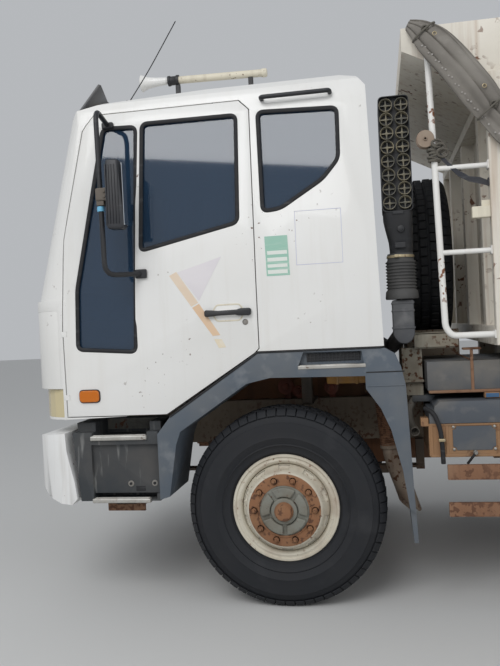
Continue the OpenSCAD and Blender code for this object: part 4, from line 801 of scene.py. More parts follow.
for piece, finish, *replaced in mirrorSet():
    bothSides(piece, "left_door", finish, *replaced)
print("mirrors made")


# sun visor, air horn, aerial and rails on the roof

visor = {
    "slab": [(1.060, 3.015), (1.078, 3.022), (1.238, 2.816), (1.220, 2.808)], "flat": 0.76, "wing": 0.328, "turn": 14,
    "hinge": (1.15, 2.9), "bracket": [(0.965, 2.866), (1.100, 2.839), (1.195, 2.771), (1.225, 2.812), (1.075, 3.000)],
}
slab = bevelled(outlined("visorMiddle", visor["slab"], "xz", -visor["flat"], visor["flat"] * 2), 0.005, 2, 40)
wing = outlined("visorWing", visor["slab"], "xz", visor["flat"] - 0.005, visor["wing"])
editMode(wing)
hinge = fromAxle((visor["hinge"][0], visor["flat"] - 0.005, visor["hinge"][1]))
bpy.ops.transform.rotate(value=-math.radians(visor["turn"]), orient_axis="Z", center_override=hinge)
objectMode()
wing = bevelled(wing, 0.005, 2, 40)
visorPiece = joined("sunVisor", slab, wing, mirrored(wing, "visorWingRight"))
wearOn(smoothed(visorPiece), "cab", "visor", "roof_fittings")
stays = []
for y in (0.700, 0.240):
    stay = outlined("stay", visor["bracket"], "xz", y, 0.010)
    stays += [bevelled(stay, 0.002, 1),
        bevelled(boxed("stayFoot", (0.980, y - 0.020, 2.835), (1.075, y + 0.030, 2.866), 0), 0.003, 1)]
bothSides(joined("visorStaysLeft", *stays), "cab", "creamPaint")

horn = {"y": 0.9, "z": 3.034, "tube": 0.0215}
bell = lathed("hornBell", [(0, 0.03), (0.016, 0.03), (0.016, -0.10), (0.022, -0.08), (0.026, -0.02), (0.034, 0.03),
    (0.0475, 0.062), (0.050, 0.066), (0.047, 0.069), (0.040, 0.052), (0.028, 0.02), (0.02, 0.0), (0, 0.0)],
    (0.715, horn["y"], horn["z"] + 0.015), "x", 32)
joint = lathed("hornJoint", [(0, 0), (0.030, 0), (0.031, 0.014), (0.026, 0.02), (0.026, 0.05), (0.030, 0.054),
    (0.030, 0.066), (0, 0.066)], (0.552, horn["y"], horn["z"] + 0.012), "x", 24)
pipe = tubed("hornPipe", [(0.035, horn["y"], horn["z"]), (0.60, horn["y"], horn["z"] + 0.013)], horn["tube"], 20)
endCap = lathed("hornEnd", [(0, 0), (0.020, 0), (0.025, 0.006), (0.025, 0.03), (0, 0.03)],
    (0.022, horn["y"], horn["z"]), "x", 20)
wearOn(joined("hornPipe", pipe, endCap), "cab", "creamPaint")
wearOn(bell, "cab", "cab")
feet = [boxed("hornFoot", (x - 0.014, horn["y"] - 0.011, z), (x + 0.014, horn["y"] + 0.011, 3.018), 0.004)
    for x, z in ((0.12, 2.904), (0.56, 2.891))]
wearOn(joined("hornFeet", joint, *feet), "cab", "blackPlastic")

base = lathed("aerial", [(0, 0), (0.018, 0), (0.018, 0.012), (0.010, 0.024), (0.005, 0.04), (0, 0.04)],
    (0.835, 1.04, 2.872), "z", 16)
whip = tubed("whip", rounded([(0.834, 1.04, 2.885), (0.700, 1.04, 3.062), (0.520, 1.04, 3.336)], 0.3, 6,
    closed=False), 0.0032, 8)
wearOn(joined("aerial", base, whip), "cab", "blackPlastic")

railLine = [(0.020, halfW - 0.050, 2.790), (0.020, halfW - 0.010, 2.790), (-0.350, halfW - 0.010, 2.790),
    (-0.350, halfW - 0.050, 2.790)]
rail = tubed("grabRailLeft", rounded(railLine, 0.025, 5, closed=False), 0.012, 14)
bothSides(rail, "cab", "blackPlastic")
print("visor, horn, aerial and rails made")


# door handle in its shallow pan, lock, seam of the roof, side marker and the frame of a notice

doorTrim = {
    "handle": (0.376, 0.130, 1.625, 1.655), "pan": (0.335, 0.170, 1.596, 1.684), "lock": (0.160, 1.585),
    "marker": (1.014, 1.130, 1.176, 1.242),
}
fore, aft, low, top = doorTrim["handle"]
grip = outlined("grip", [(fore + 0.003, low - 0.004), (fore + 0.006, low + 0.008), (fore + 0.006, top),
    (fore - 0.006, top + 0.004), (0.30, top - 0.002), (0.20, top), (0.18, top + 0.006), (aft - 0.004, top + 0.005),
    (aft - 0.007, top - 0.006), (aft - 0.005, low + 0.002), (aft + 0.004, low - 0.005), (0.19, low - 0.004),
    (0.21, low + 0.001), (0.31, low)], "xz", halfW - 0.002, 0.030)
grip = smoothed(bevelled(grip, 0.008, 3, 50), 40)
fore, aft, low, top = doorTrim["pan"]
panLine = rounded([(fore, halfW, low + 0.028), (fore - 0.018, halfW, low), (aft + 0.018, halfW, low),
    (aft, halfW, low + 0.028), (aft, halfW, top - 0.028), (aft + 0.018, halfW, top), (fore - 0.018, halfW, top),
    (fore, halfW, top - 0.028)], 0.015, 4)
pan = tubed("pan", panLine, 0.0045, 8, closed=True)
activate(pan)
bpy.ops.transform.resize(value=(1, 0.35, 1), center_override=(0, halfW, 0))
placed(pan)
x, z = doorTrim["lock"]
lock = lathed("doorLock", [(0, -0.002), (0.016, -0.002), (0.016, 0.002), (0.0125, 0.0045), (0.0115, 0.0025),
    (0.0085, 0.0025), (0.0085, 0.0045), (0, 0.005)], (x, halfW, z), "y", 28)
for piece, finish in ((grip, "blackPlastic"), (pan, "creamPaint"), (lock, "bareSteel")):
    bothSides(piece, "left_door", finish)


def plateOf(x0, x1, z0, z1, corner):
    # outline of a plate with round corners
    return [(x, z) for x, z, _ in rounded([(x0, z0, 0), (x1, z0, 0), (x1, z1, 0), (x0, z1, 0)], corner, 6)]


x0, x1, z0, z1 = doorTrim["marker"]
surround = bevelled(outlined("markerBaseLeft", plateOf(x0 - 0.005, x1 + 0.005, z0 - 0.005, z1 + 0.005, 0.026), "xz",
    halfW - 0.002, 0.008), 0.003, 2, 50)
lens = bevelled(outlined("markerLensLeft", plateOf(x0, x1, z0, z1, 0.022), "xz", halfW, 0.016), 0.006, 3, 50)
bothSides(surround, "cab", "rubber")
bothSides(lens, "cab", "amber")

roofEdge = {"z": 2.74, "slope": 0.36}  # above it the cab's side turns in to the roof
seam = ontoSide(boxed("seam", (0.294, 0, 2.722), (0.300, 0.0012, 2.84), 0))
for vertex in seam.data.vertices:
    vertex.co.y -= max(0.0, vertex.co.z - roofEdge["z"]) * roofEdge["slope"]
bothSides(seam, "cab", "rubber")
noticeFrame = {"line": [(-0.134, 2.164), (-0.380, 2.164), (-0.380, 1.876), (-0.134, 1.876)], "half": 0.0014}
frameLine, thin = noticeFrame["line"], noticeFrame["half"]
lines = []
for (xa, za), (xb, zb) in zip(frameLine, frameLine[1:] + frameLine[:1]):
    low, high = (min(xa, xb) - thin, min(za, zb) - thin), (max(xa, xb) + thin, max(za, zb) + thin)
    lines.append(ontoSide(outlined("frameLine", [(low[0], low[1]), (high[0], low[1]), (high[0], high[1]),
        (low[0], high[1])], "xz", 0, -0.0005), 0.0008))
wearOn(joined("noticeOutline", *lines), "cab", "paleLine")
print("door trim and marker lamps made")


# pale stripes on the door and the blank notices behind it, thin as paint

stripes = {
    "lift": 0.0009,
    "door": [("peach", [(0.575, 1.859), (0.534, 1.879), (0.417, 1.703), (0.457, 1.683)]),
             ("peachDeep", [(0.453, 1.677), (0.413, 1.697), (0.302, 1.520), (0.344, 1.517)]),
             ("peachPale", [(0.338, 1.500), (0.295, 1.497), (0.273, 1.452), (0.313, 1.450)]),
             ("lavender", [(0.528, 1.876), (0.278, 1.948), (0.412, 1.712)])],
    "cab": [("noticeGreen", [(0.035, 2.040), (-0.089, 2.040), (-0.096, 1.825), (0.030, 1.825)])],
}
for high, low in ((1.960, 1.940), (1.923, 1.903), (1.888, 1.870), (1.857, 1.836)):
    stripes["cab"].append(("noticeWhite", [(0.024, high), (-0.084, high), (-0.085, low), (0.023, low)]))
for body, marks in (("left_door", stripes["door"]), ("cab", stripes["cab"])):
    for k, (finish, outline) in enumerate(marks):
        mark = ontoSide(outlined("%sMark%d" % (body.split("_")[0], k), outline, "xz", 0, -0.0006),
            stripes["lift"] + 0.0004 * (finish == "noticeWhite"))
        wearOn(mark, body, finish)
print("stripes laid on the side")


# air intake behind the cab: swirl tubes in a tall box, neck, bellows and clamp

intake = {
    "x": -0.680, "front": 1.150, "back": 0.905, "low": 2.135, "top": 2.752, "half": 0.081, "rows": 8, "pitch": 0.0745,
    "first": 2.1825, "column": 0.0405, "tube": 0.0345, "ductX": -0.685, "ductY": 1.040,
}


def intakeTube(x, z):
    # one swirl tube: ring, cone and the cross vanes in it
    y = intake["front"]
    ring = lathed("tubeRing", [(intake["tube"] - 0.006, -0.036), (intake["tube"] - 0.004, -0.010),
        (intake["tube"] - 0.0025, 0.003), (intake["tube"], 0.004), (intake["tube"] + 0.0015, 0.0),
        (intake["tube"] + 0.0015, -0.006), (intake["tube"] + 0.001, -0.036)], (x, y, z), "y", 22)
    cone = lathed("tubeCone", [(0, -0.040), (0.012, -0.040), (0.009, -0.014), (0.004, -0.010),
        (0, -0.0095)], (x, y, z), "y", 12)
    parts = [ring, cone]
    for w, h in ((intake["tube"] - 0.004, 0.0028), (0.0028, intake["tube"] - 0.004)):
        parts.append(boxed("vane", (x - w, y - 0.026, z - h), (x + w, y - 0.012, z + h), 0))
    return parts


tubes = []
for row in range(intake["rows"]):
    for side in (-1, 1):
        tubes += intakeTube(intake["x"] + side * intake["column"], intake["first"] + row * intake["pitch"])
wearOn(joined("intakeTubes", *tubes), "cab", "tubePlastic")
half, low, top = intake["half"], intake["low"], intake["top"]
# box with its front left open behind the tubes, rounded at the top corners
boxLine = rounded([(intake["x"] + half, 0, low), (intake["x"] + half, 0, top), (intake["x"] - half, 0, top),
    (intake["x"] - half, 0, low)], 0.028, 5)
boxLine = [(x, z) for x, y, z in boxLine]
case = outlined("intakeBox", boxLine, "xz", intake["front"] - 0.034, intake["back"] - intake["front"] + 0.034)
lip = outlined("intakeLip", boxLine, "xz", intake["front"] - 0.034, 0.034)
editMode(lip, "DESELECT")
objectMode()
for polygon in lip.data.polygons:
    if polygon.normal.y > 0.9:
        polygon.select = True
bpy.ops.object.mode_set(mode="EDIT")
bpy.ops.mesh.inset(thickness=0.004)
bpy.ops.mesh.extrude_region_move(TRANSFORM_OT_translate={"value": (0, -0.030, 0)})
objectMode()
# neck: a loft from the box's foot to the bellows, narrowing at its front
deselectAll()
neckRings = [
    (low + 0.004, 0.079, 0.079, 0.115, 0.0), (2.105, 0.079, 0.077, 0.112, 0.004), (2.060, 0.072, 0.076, 0.100, 0.010),
    (1.985, 0.058, 0.074, 0.082, 0.018), (1.935, 0.054, 0.072, 0.070, 0.016), (1.900, 0.054, 0.072, 0.070, 0.012),
]
loops = []
for z, ahead, behind, deep, inward in neckRings:
    bpy.ops.mesh.primitive_circle_add(vertices=32, radius=1, fill_type="NOTHING")
    loop = bpy.context.object
    square = (z - 1.9) / 0.23
    for vertex in loop.data.vertices:
        a = math.atan2(vertex.co.y, vertex.co.x)
        power = 2.0 / (2.0 + 4.0 * max(0.0, min(1.0, square)))
        c = math.copysign(abs(math.cos(a)) ** power, math.cos(a))
        s = math.copysign(abs(math.sin(a)) ** power, math.sin(a))
        vertex.co = fromAxle((intake["x"] - inward * 0.2 + (ahead if c > 0 else behind) * c,
            1.034 - inward + deep * s, z))
    loops.append(loop)
neck = joined("intakeNeck", *loops)
editMode(neck)
bpy.ops.mesh.bridge_edge_loops()
bpy.ops.mesh.select_all(action="SELECT")
bpy.ops.mesh.fill_holes(sides=40)
bpy.ops.mesh.normals_make_consistent(inside=False)
objectMode()
neck = bevelled(smoothed(neck, 50), 0.004, 2, 50)
lug = lathed("neckLug", [(0, 0), (0.022, 0), (0.018, 0.008), (0.009, 0.010), (0.009, 0.016), (0, 0.017)],
    (intake["x"] - 0.012, 1.118, 2.045), "y", 14)
latch = boxed("neckLatch", (intake["x"] - 0.036, 1.085, 1.942), (intake["x"] + 0.024, 1.112, 1.975), 0.006)
strap = boxed("neckStrap", (intake["x"] - 0.030, 1.135, 2.120), (intake["x"] + 0.03, 1.152, 2.136), 0.004)
body = joined("intakeBox", case, lip, neck, lug, latch, strap)
wearOn(body, "cab", "blackPlastic", "intake_panel")
# bellows under the neck, and the clamp above them
x, y = intake["ductX"], intake["ductY"]
ribs = [(0.052, 0.004), (0.086, 0.004), (0.090, 0.012), (0.0865, 0.046), (0.078, 0.056)]
for k in range(9):
    z = 0.060 + k * 0.0172
    ribs += [(0.0755, z), (0.0825, z + 0.0052), (0.0825, z + 0.0092), (0.0755, z + 0.0142)]
ribs += [(0.073, 0.2155), (0.0705, 0.222), (0.0700, 0.252), (0.052, 0.252)]
bellows = lathed("bellows", ribs, (x, y, 1.664), "z", 56)
wearOn(bellows, "cab", "bellows")
band = lathed("intakeClamp", [(0.0705, 0), (0.0735, 0), (0.0745, 0.002), (0.0745, 0.012), (0.0735, 0.014),
    (0.0705, 0.014)], (x, y, 1.893), "z", 48)
screw = boxed("clampScrew", (x + 0.01, y + 0.070, 1.893), (x + 0.035, y + 0.086, 1.908), 0.003)
wearOn(joined("intakeClamp", band, screw), "cab", "brassBand")
print("intake made:", intake["rows"] * 2, "tubes")


# lower duct on the chassis: a box with a round bottom, grooved, and its cross pipe

duct = {"top": 1.6635, "half": 0.058}
ductLine = rounded([(x + across, 0, z) for across, z in (
    (duct["half"], duct["top"]), (-duct["half"], duct["top"]), (-duct["half"], 1.470), (-0.035, 1.434), (-0.012, 1.424),
    (0.012, 1.424), (0.035, 1.434), (duct["half"], 1.470))], 0.012, 3)
lower = outlined("ductBox", [(a, c) for a, b, c in ductLine], "xz", y - 0.066, 0.127)
lower = bevelled(lower, 0.008, 3, 50)
ridges = [boxed("ductRidge", (x - 0.061, y - 0.069, z), (x + 0.061, y + 0.064, z + 0.012), 0.004)
    for z in (1.640, 1.598)]
flange = boxed("ductFlange", (x - 0.062, y - 0.07, 1.505), (x + 0.062, y + 0.0655, 1.516), 0.003)
cross = tubed("ductPipe", rounded([(x, y - 0.03, 1.49), (x + 0.06, 0.24, 1.376), (-0.560, 0.24, 1.376)], 0.06, 6,
    closed=False), 0.048, 24)
wearOn(smoothed(joined("intakeDuct", lower, flange, *ridges, cross)), "chassis", "ductPlastic", "intake_duct")
print("lower duct made")


# spare wheel, with the front wheel's own tyre and rim turned crosswise

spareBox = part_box("spare_tyre")
spareMiddle = [(a + b) / 2 for a, b in zip(*spareBox)]
for source, name, finish, node in ((frontPieces["Tyre"][0], "spareTyreDressed", "tyre", "spare_tyre"),
        (frontPieces["Rim"][0], "spareRimDressed", "rim", "spare_rim")):
    spare = copied(source, name, (-frontWheel[0] - axleX, -frontWheel[1], -frontWheel[2]))
    editMode(spare)
    bpy.ops.transform.rotate(value=math.pi / 2, orient_axis="Z", center_override=(0, 0, 0))
    bpy.ops.transform.translate(value=spareMiddle)
    objectMode()
    wearOn(spare, "chassis", finish, node)
print("spare wheel dressed")


# ladder up to the front wall, with its feet

ladder = {
    "y": halfW - 0.038, "rail": 0.017, "rung": 0.0135, "head": (-0.864, 2.915), "foot": (-0.893, 1.505), "post": -1.143,
    "rungs": (1.893, 2.332), "sill": 1.459,
}
y = ladder["y"]
(x0, z0), (x1, z1) = ladder["head"], ladder["foot"]
railLine = [(x0, y, z0), (x1, y, z1), (-0.925, y, ladder["sill"]), (ladder["post"] + 0.001, y, ladder["sill"])]
rails = tubed("ladderRail", rounded(railLine, 0.05, 6, closed=False), ladder["rail"], 20)
rungs = [tubed("rung", [(-0.876 - (2.4 - z) * 0.022, y, z), (ladder["post"] + 0.001, y, z)], ladder["rung"], 16)
    for z in ladder["rungs"]]
pads = [boxed("rungPad", (ladder["post"] - 0.002, y - 0.028, z - 0.022), (ladder["post"] + 0.007, y + 0.028, z + 0.022),
    0.002) for z in (ladder["sill"], *ladder["rungs"])]
wearOn(joined("ladderPiece", rails, *rungs, *pads), "load_body", "ladderPaint", "ladder")
print("ladder made")


# tarpaulin, gathered into folds along the left side and tied

tarp = {
    # x, z, half width of the bundle, half thickness, how far it comes in over the side
    "route": [
        (-0.772, 3.088, 0.026, 0.030, 0.050), (-0.815, 3.062, 0.055, 0.044, 0.045),
        (-0.870, 2.990, 0.078, 0.046, 0.012), (-0.975, 2.860, 0.086, 0.046, 0), (-1.080, 2.715, 0.088, 0.044, 0),
        (-1.190, 2.565, 0.092, 0.042, 0),
        (-1.330, 2.450, 0.100, 0.040, 0), (-1.700, 2.400, 0.104, 0.040, 0), (-2.600, 2.390, 0.100, 0.040, 0),
        (-3.800, 2.400, 0.100, 0.040, 0), (-5.000, 2.390, 0.100, 0.040, 0), (-6.000, 2.398, 0.090, 0.038, 0),
        (-6.140, 2.402, 0.030, 0.022, 0)],
    # folds across the bundle, from the hem at its foot over the front and back down inside
    "folds": [
        (-1.12, 0.60), (-1.06, 0.74), (-0.86, 0.80), (-0.66, 0.84), (-0.60, 0.72), (-0.54, 0.66), (-0.46, 0.86),
        (-0.28, 1.00), (-0.10, 0.99), (0.02, 0.84), (0.08, 0.70), (0.16, 0.88), (0.34, 1.00), (0.54, 0.94),
        (0.62, 0.74), (0.70, 0.66), (0.80, 0.82), (0.98, 0.76), (1.05, 0.46), (1.02, 0.14)],
    "layers": 8, "layerGap": 0.074, "hem": (2, 3), "eyeletFold": 12, "eyeletStep": 7,
    # waves along the bundle: height, waves by metre, shift from fold to fold
    "sway": [(0.07, 3.1, 0.9), (0.035, 8.7, 1.7)], "swell": [(0.06, 4.3, 1.3), (0.05, 11.0, 2.3)],
    "ripple": [(0.05, 17.0, 0.7)], "rippled": (6, 17), "pinch": (0.72, 0.12), "rope": 0.0052,
    "pitch": 0.050, "cloth": 0.0022, "ties": [0.05, 0.62, 1.65, 2.6, 3.6, 4.6, 5.55, 6.3], "flat": (2.1, 6.5),
}


# the rest of the cloth lies folded behind them, layer on layer
shownFolds = len(tarp["folds"])
for layer in range(tarp["layers"]):
    v = 0.04 + tarp["layerGap"] * layer
    ends = (0.94, -0.94) if layer % 2 == 0 else (-0.94, 0.94)
    tarp["folds"] += [(ends[0], v), (ends[0] * 0.3, v + 0.012), (ends[1] * 0.3, v), (ends[1], v + 0.006),
        (ends[1] * 1.05, v + 0.045)]


def alongRoute(route, pitch):
    # points at even steps on a smooth curve through the route
    def at(i, t):
        a, b, c, d = (Vector(route[max(0, min(len(route) - 1, j))]) for j in (i - 1, i, i + 1, i + 2))
        return 0.5 * (2 * b + (c - a) * t + (2 * a - 5 * b + 4 * c - d) * t * t + (3 * b - 3 * c + d - a) * t ** 3)
    fine = [at(i, k / 40) for i in range(len(route) - 1) for k in range(40)] + [Vector(route[-1])]
    spots, gone = [fine[0]], 0.0
    for last, spot in zip(fine, fine[1:]):
        gone += math.hypot(spot[0] - last[0], spot[1] - last[1])
        if gone >= pitch:
            spots.append(spot)
            gone = 0.0
    return spots


tarpLine = alongRoute([Vector(q) for q in tarp["route"]], tarp["pitch"])


def tarpSpot(i, u, v):
    # a place in the bundle: ring i, u across it from foot to top, v from the side outwards
    x, z, half, thick, inward = tarpLine[i]
    a, b = tarpLine[max(0, i - 1)], tarpLine[min(len(tarpLine) - 1, i + 1)]
    run = Vector((b[0] - a[0], b[1] - a[1])).normalized()
    up = Vector((-run.y, run.x))
    if up.y < 0:
        up = -up
    return Vector((x + up.x * u * half, halfW + 0.003 - inward + v * 2 * thick, z + up.y * u * half))


def waves(kind, s, j):
    return sum(height * math.sin(s * often + j * shift) for height, often, shift in tarp[kind])


def tarpFold(i, j):
    # fold j at ring i: the shown folds wander along the bundle, the ones behind them a little
    u, v = tarp["folds"][j]
    s = i * tarp["pitch"]
    if j < shownFolds:
        u, v = u + waves("sway", s, j), v + waves("swell", s, j)
    else:
        u, v = u + 0.04 * math.sin(s * 3.1 + 0.9), v + 0.015 * math.sin(s * 9.0)
    if tarp["rippled"][0] <= j <= tarp["rippled"][1]:
        v += waves("ripple", s, j)
    least, reach = tarp["pinch"]
    pinch = min([1.0] + [least + (1 - least) * min(1.0, abs(s - tie) / reach) for tie in tarp["ties"]])
    return tarpSpot(i, u * (0.5 + 0.5 * pinch), max(0.0, min(1.06, v)) * pinch)


deselectAll()
rings, across = len(tarpLine), len(tarp["folds"])
bpy.ops.mesh.primitive_grid_add(x_subdivisions=rings - 1, y_subdivisions=across - 1, size=2)
cloth = bpy.context.object
cloth.name = "tarpCloth"
for vertex in cloth.data.vertices:
    i = round((vertex.co.x + 1) / 2 * (rings - 1))
    j = round((vertex.co.y + 1) / 2 * (across - 1))
    spot = tarpFold(i, j)
    vertex.co = fromAxle(spot)
modify(cloth, "SUBSURF", levels=1, render_levels=1)
editMode(cloth)
bpy.ops.mesh.normals_make_consistent(inside=False)
objectMode()
modify(cloth, "SOLIDIFY", thickness=tarp["cloth"], offset=0)
smoothed(cloth, 60)
wearOn(cloth, "load_body", "tarp", "tarpaulin")


def tarpOutline(i, grow):
    # a loop round the bundle, for a tie
    spots = []
    for k in range(20):
        a = math.tau * k / 20
        spot = tarpSpot(i, 0.98 * math.cos(a), 0.5 + 0.5 * math.sin(a))
        y = spot.y + grow * math.sin(a)
        outside = tarpLine[i][4] < 0.01
        spots.append((spot.x, max(halfW + 0.004, y) if outside else y, spot.z))
    return spots


ties = []
for tie in tarp["ties"]:
    i = max(2, min(rings - 3, round(tie / tarp["pitch"])))
    ties.append(tubed("tie", tarpOutline(i, -0.004), tarp["rope"], 8, closed=True))
    knot = tarpSpot(i, 0.1, 0.78)
    for turn in (0, 1):
        loop = []
        for a in (math.tau * k / 12 for k in range(12)):
            loop.append((knot.x + 0.016 * math.cos(a), knot.y + 0.006 * turn + 0.004 * math.sin(2 * a),
                         knot.z + 0.011 * math.sin(a) + 0.006 * turn))
        ties.append(tubed("knot", loop, tarp["rope"], 8, closed=True))
tiesPiece = wearOn(joined("tarpTies", *ties), "load_body", "rope")

# studs down the hem and eyelets in the upper fold
studs, eyelets = [], []
for i in range(3, rings - 3):
    for k in (0, 1):
        spot = tarpFold(i, tarp["hem"][0]) * 0.5 + tarpFold(i, tarp["hem"][1]) * 0.5
        nudge = (tarpLine[i + 1] - tarpLine[i]) * (k / 2)
        studs.append((spot.x + nudge[0], spot.y + 0.0015, spot.z + nudge[1] + (0.008 if k else -0.004)))
    if i % tarp["eyeletStep"] == 3:
        spot = tarpFold(i, tarp["eyeletFold"])
        eyelets.append((spot.x, spot.y + 0.001, spot.z))
stud = lathed("stud", [(0, -0.002), (0.0058, -0.002), (0.005, 0.002), (0.002, 0.0036), (0, 0.0038)], (0, 0, 0), "y", 6)
eyelet = lathed("eyelet", [(0.006, -0.001), (0.011, -0.001), (0.0115, 0.001), (0.0085, 0.0026),
    (0.0065, 0.001)], (0, 0, 0), "y", 14)


def scattered(name, piece, spots):
    # one copy of the piece at each place, joined
    copies = []
    for spot in spots:
        copy = linked(name, piece.data.copy())
        copy.data.transform(Matrix.Translation(spot))
        copies.append(copy)
    bpy.data.objects.remove(piece)
    return joined(name, *copies)


studRow = wearOn(scattered("tarpStuds", stud, studs), "load_body", "tarpStud")
eyeletRow = wearOn(scattered("tarpEyelets", eyelet, eyelets), "load_body", "brassBand")
area = sum(polygon.area for polygon in cloth.data.polygons) / 2
print("tarpaulin gathered: %.2f m2 of cloth, %d rings" % (area, rings))


# seats and bunk: padded cushions, swelled by cloth simulation

seatLook = {
    "y": 0.64, "z": 1.560, "pivot": (0.170, 0.130), "inset": 0.012, "edge": 0.026, "voxel": 0.011, "pressure": 4,
    "frames": 20, "cap": 0.022, "cushion": ((0.160, -0.235, 0.006), (0.645, 0.235, 0.132)),
    "back": ((-0.105, -0.225, 0.012), (-0.005, 0.225, 0.52)), "rest": ((-0.095, -0.14, 0.565), (-0.015, 0.14, 0.70)),
    "lean": -12, "bunkLow": 1.541, "bunkTop": 1.638,
    "foot": [(0.25, 1.395), (0.55, 1.208), (0.55, 1.563), (0.25, 1.563)],
}


def cushionOf(name, low, high, lean=0.0, pivot=(0, 0, 0)):
    # block with its edges drawn in, swelled like a stuffed cover
    block = bevelled(boxed(name, [a + seatLook["inset"] for a in low], [b - seatLook["inset"] for b in high], 0),
        seatLook["edge"], 4)
    if lean:
        editMode(block)
        bpy.ops.transform.rotate(value=-lean, orient_axis="Y", center_override=fromAxle(pivot))
        objectMode()
    modify(block, "REMESH", mode="VOXEL", voxel_size=seatLook["voxel"])
    before = [vertex.co.copy() for vertex in block.data.vertices]
    activate(block)
    cloth = block.modifiers.new("cloth", "CLOTH")
    cloth.settings.use_pressure = True
    cloth.settings.uniform_pressure_force = seatLook["pressure"]
    cloth.settings.effector_weights.gravity = 0
    for step in range(1, seatLook["frames"] + 1):
        bpy.context.scene.frame_set(step)
    bpy.ops.object.modifier_apply(modifier="cloth")
    bpy.context.scene.frame_set(1)
    for vertex, start in zip(block.data.vertices, before):
        moved = vertex.co - start
        if moved.length > seatLook["cap"]:
            vertex.co = start + moved.normalized() * seatLook["cap"]
    modify(block, "SUBSURF", levels=1, render_levels=1)
    return smoothed(block, 60)


sy, sz = seatLook["y"], seatLook["z"]
pivot = (seatLook["pivot"][0], sy, sz + seatLook["pivot"][1])
for label, lean in (("Cushion", 0), ("Back", seatLook["lean"]), ("Rest", seatLook["lean"])):
    shift = pivot if lean else (0.0, sy, sz)
    low, high = ([a + b for a, b in zip(corner, shift)] for corner in seatLook[label.lower()])
    pad = cushionOf("seat%sLeft" % label, low, high, math.radians(lean), pivot)
    other = mirrored(pad, "seat%sRight" % label)
    for piece in (pad, other):
        wearOn(piece, "cab", "seat")
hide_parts("seats")
bunk = cushionOf("bunkMattress", (-0.505, -1.075, seatLook["bunkLow"]), (-0.065, 1.075, seatLook["bunkTop"]))
wearOn(bunk, "cab", "seat")
stands = [bevelled(outlined("seatFoot", seatLook["foot"], "xz", sy - 0.15, 0.30), 0.006, 2),
          boxed("seatPlate", (0.18, sy - 0.20, sz - 0.012), (0.62, sy + 0.20, sz + 0.008), 0.004)]
for y in (sy - 0.06, sy + 0.06):
    stands.append(tubed("restPost", [(0.03, y, sz + 0.60), (0.015, y, sz + 0.70)], 0.006, 8))
bothSides(joined("seatStandLeft", *stands), "cab", "blackPlastic")
print("seats and bunk padded")


# wheel arch trim: a step let into it, its metal edge, creases and the gasket to the cab; the groove of the upper crease
# is a dark strip of painted shade

archTrim = {
    "recess": [(-0.146, 1.407), (-0.454, 1.403), (-0.465, 1.338), (-0.114, 1.330)], "deep": 0.030,
    "edge": (-0.474, -0.114, 1.315, 1.335),
    "gasket": [(0.612, 1.080), (0.150, 1.384), (0.104, 1.4155), (-0.560, 1.4165)], "step": 1.287, "crease": 1.214,
}
guards = bpy.data.objects["mudguardsDressed"]


def cutBy(piece, cutter):
    modify(piece, "BOOLEAN", object=cutter, solver="EXACT")
    bpy.data.objects.remove(cutter)
    return piece


for side in (1, -1):
    cutter = outlined("recessCutter", archTrim["recess"], "xz", side * (halfW + 0.01),
        -side * (archTrim["deep"] + 0.012))
    cutBy(guards, cutter)
x0, x1, z0, z1 = archTrim["edge"]
edge = [boxed("stepEdge", (x0, halfW - 0.030, z0), (x1, halfW + 0.003, z1), 0.004)]
edge += [boxed("stepRib", (x0 + 0.01, halfW - 0.026 + k * 0.007, z1 - 0.001),
    (x1 - 0.01, halfW - 0.023 + k * 0.007, z1 + 0.0022), 0.001) for k in range(4)]
# black plate at the back of the step's recess, painted shade of the recess, with a grid of bars on it
grid = [boxed("stepGridShadePlate", (-0.449, halfW - 0.034, 1.352), (-0.160, halfW - 0.0305, 1.398), 0.001)]
for k in range(15):
    grid.append(boxed("gridBar", (-0.440 + k * 0.0195, halfW - 0.032, 1.352),
        (-0.434 + k * 0.0195, halfW - 0.024, 1.398), 0.001))
for k in range(3):
    grid.append(boxed("gridRow", (-0.446, halfW - 0.032, 1.358 + k * 0.015),
        (-0.163, halfW - 0.026, 1.362 + k * 0.015), 0.001))
# the groove is a thin black strip laid on the mudguard, painted shade of the crease, in the gasket's rubber
grooveShade = boxed("guardGrooveShade", (-0.672, halfW - 0.004, archTrim["step"] - 0.004),
    (-0.474, halfW - 0.0008, archTrim["step"] + 0.003), 0.001)
ridge = boxed("guardRidge", (-0.672, halfW - 0.006, archTrim["crease"] - 0.004),
    (-0.478, halfW + 0.0015, archTrim["crease"] + 0.004), 0.003)
seal = tubed("archSeal", [(x, halfW - 0.002, z) for x, z in archTrim["gasket"]], 0.0055, 10)
for piece, finish in ((joined("archStepLeft", *edge), "treadMetal"), (joined("archGridLeft", *grid), "blackPlastic"),
        (joined("archSealLeft", grooveShade, seal), "rubber"), (joined("archRidgeLeft", ridge), "guardPlastic")):
    bothSides(piece, "chassis", finish)
print("arch trim made")
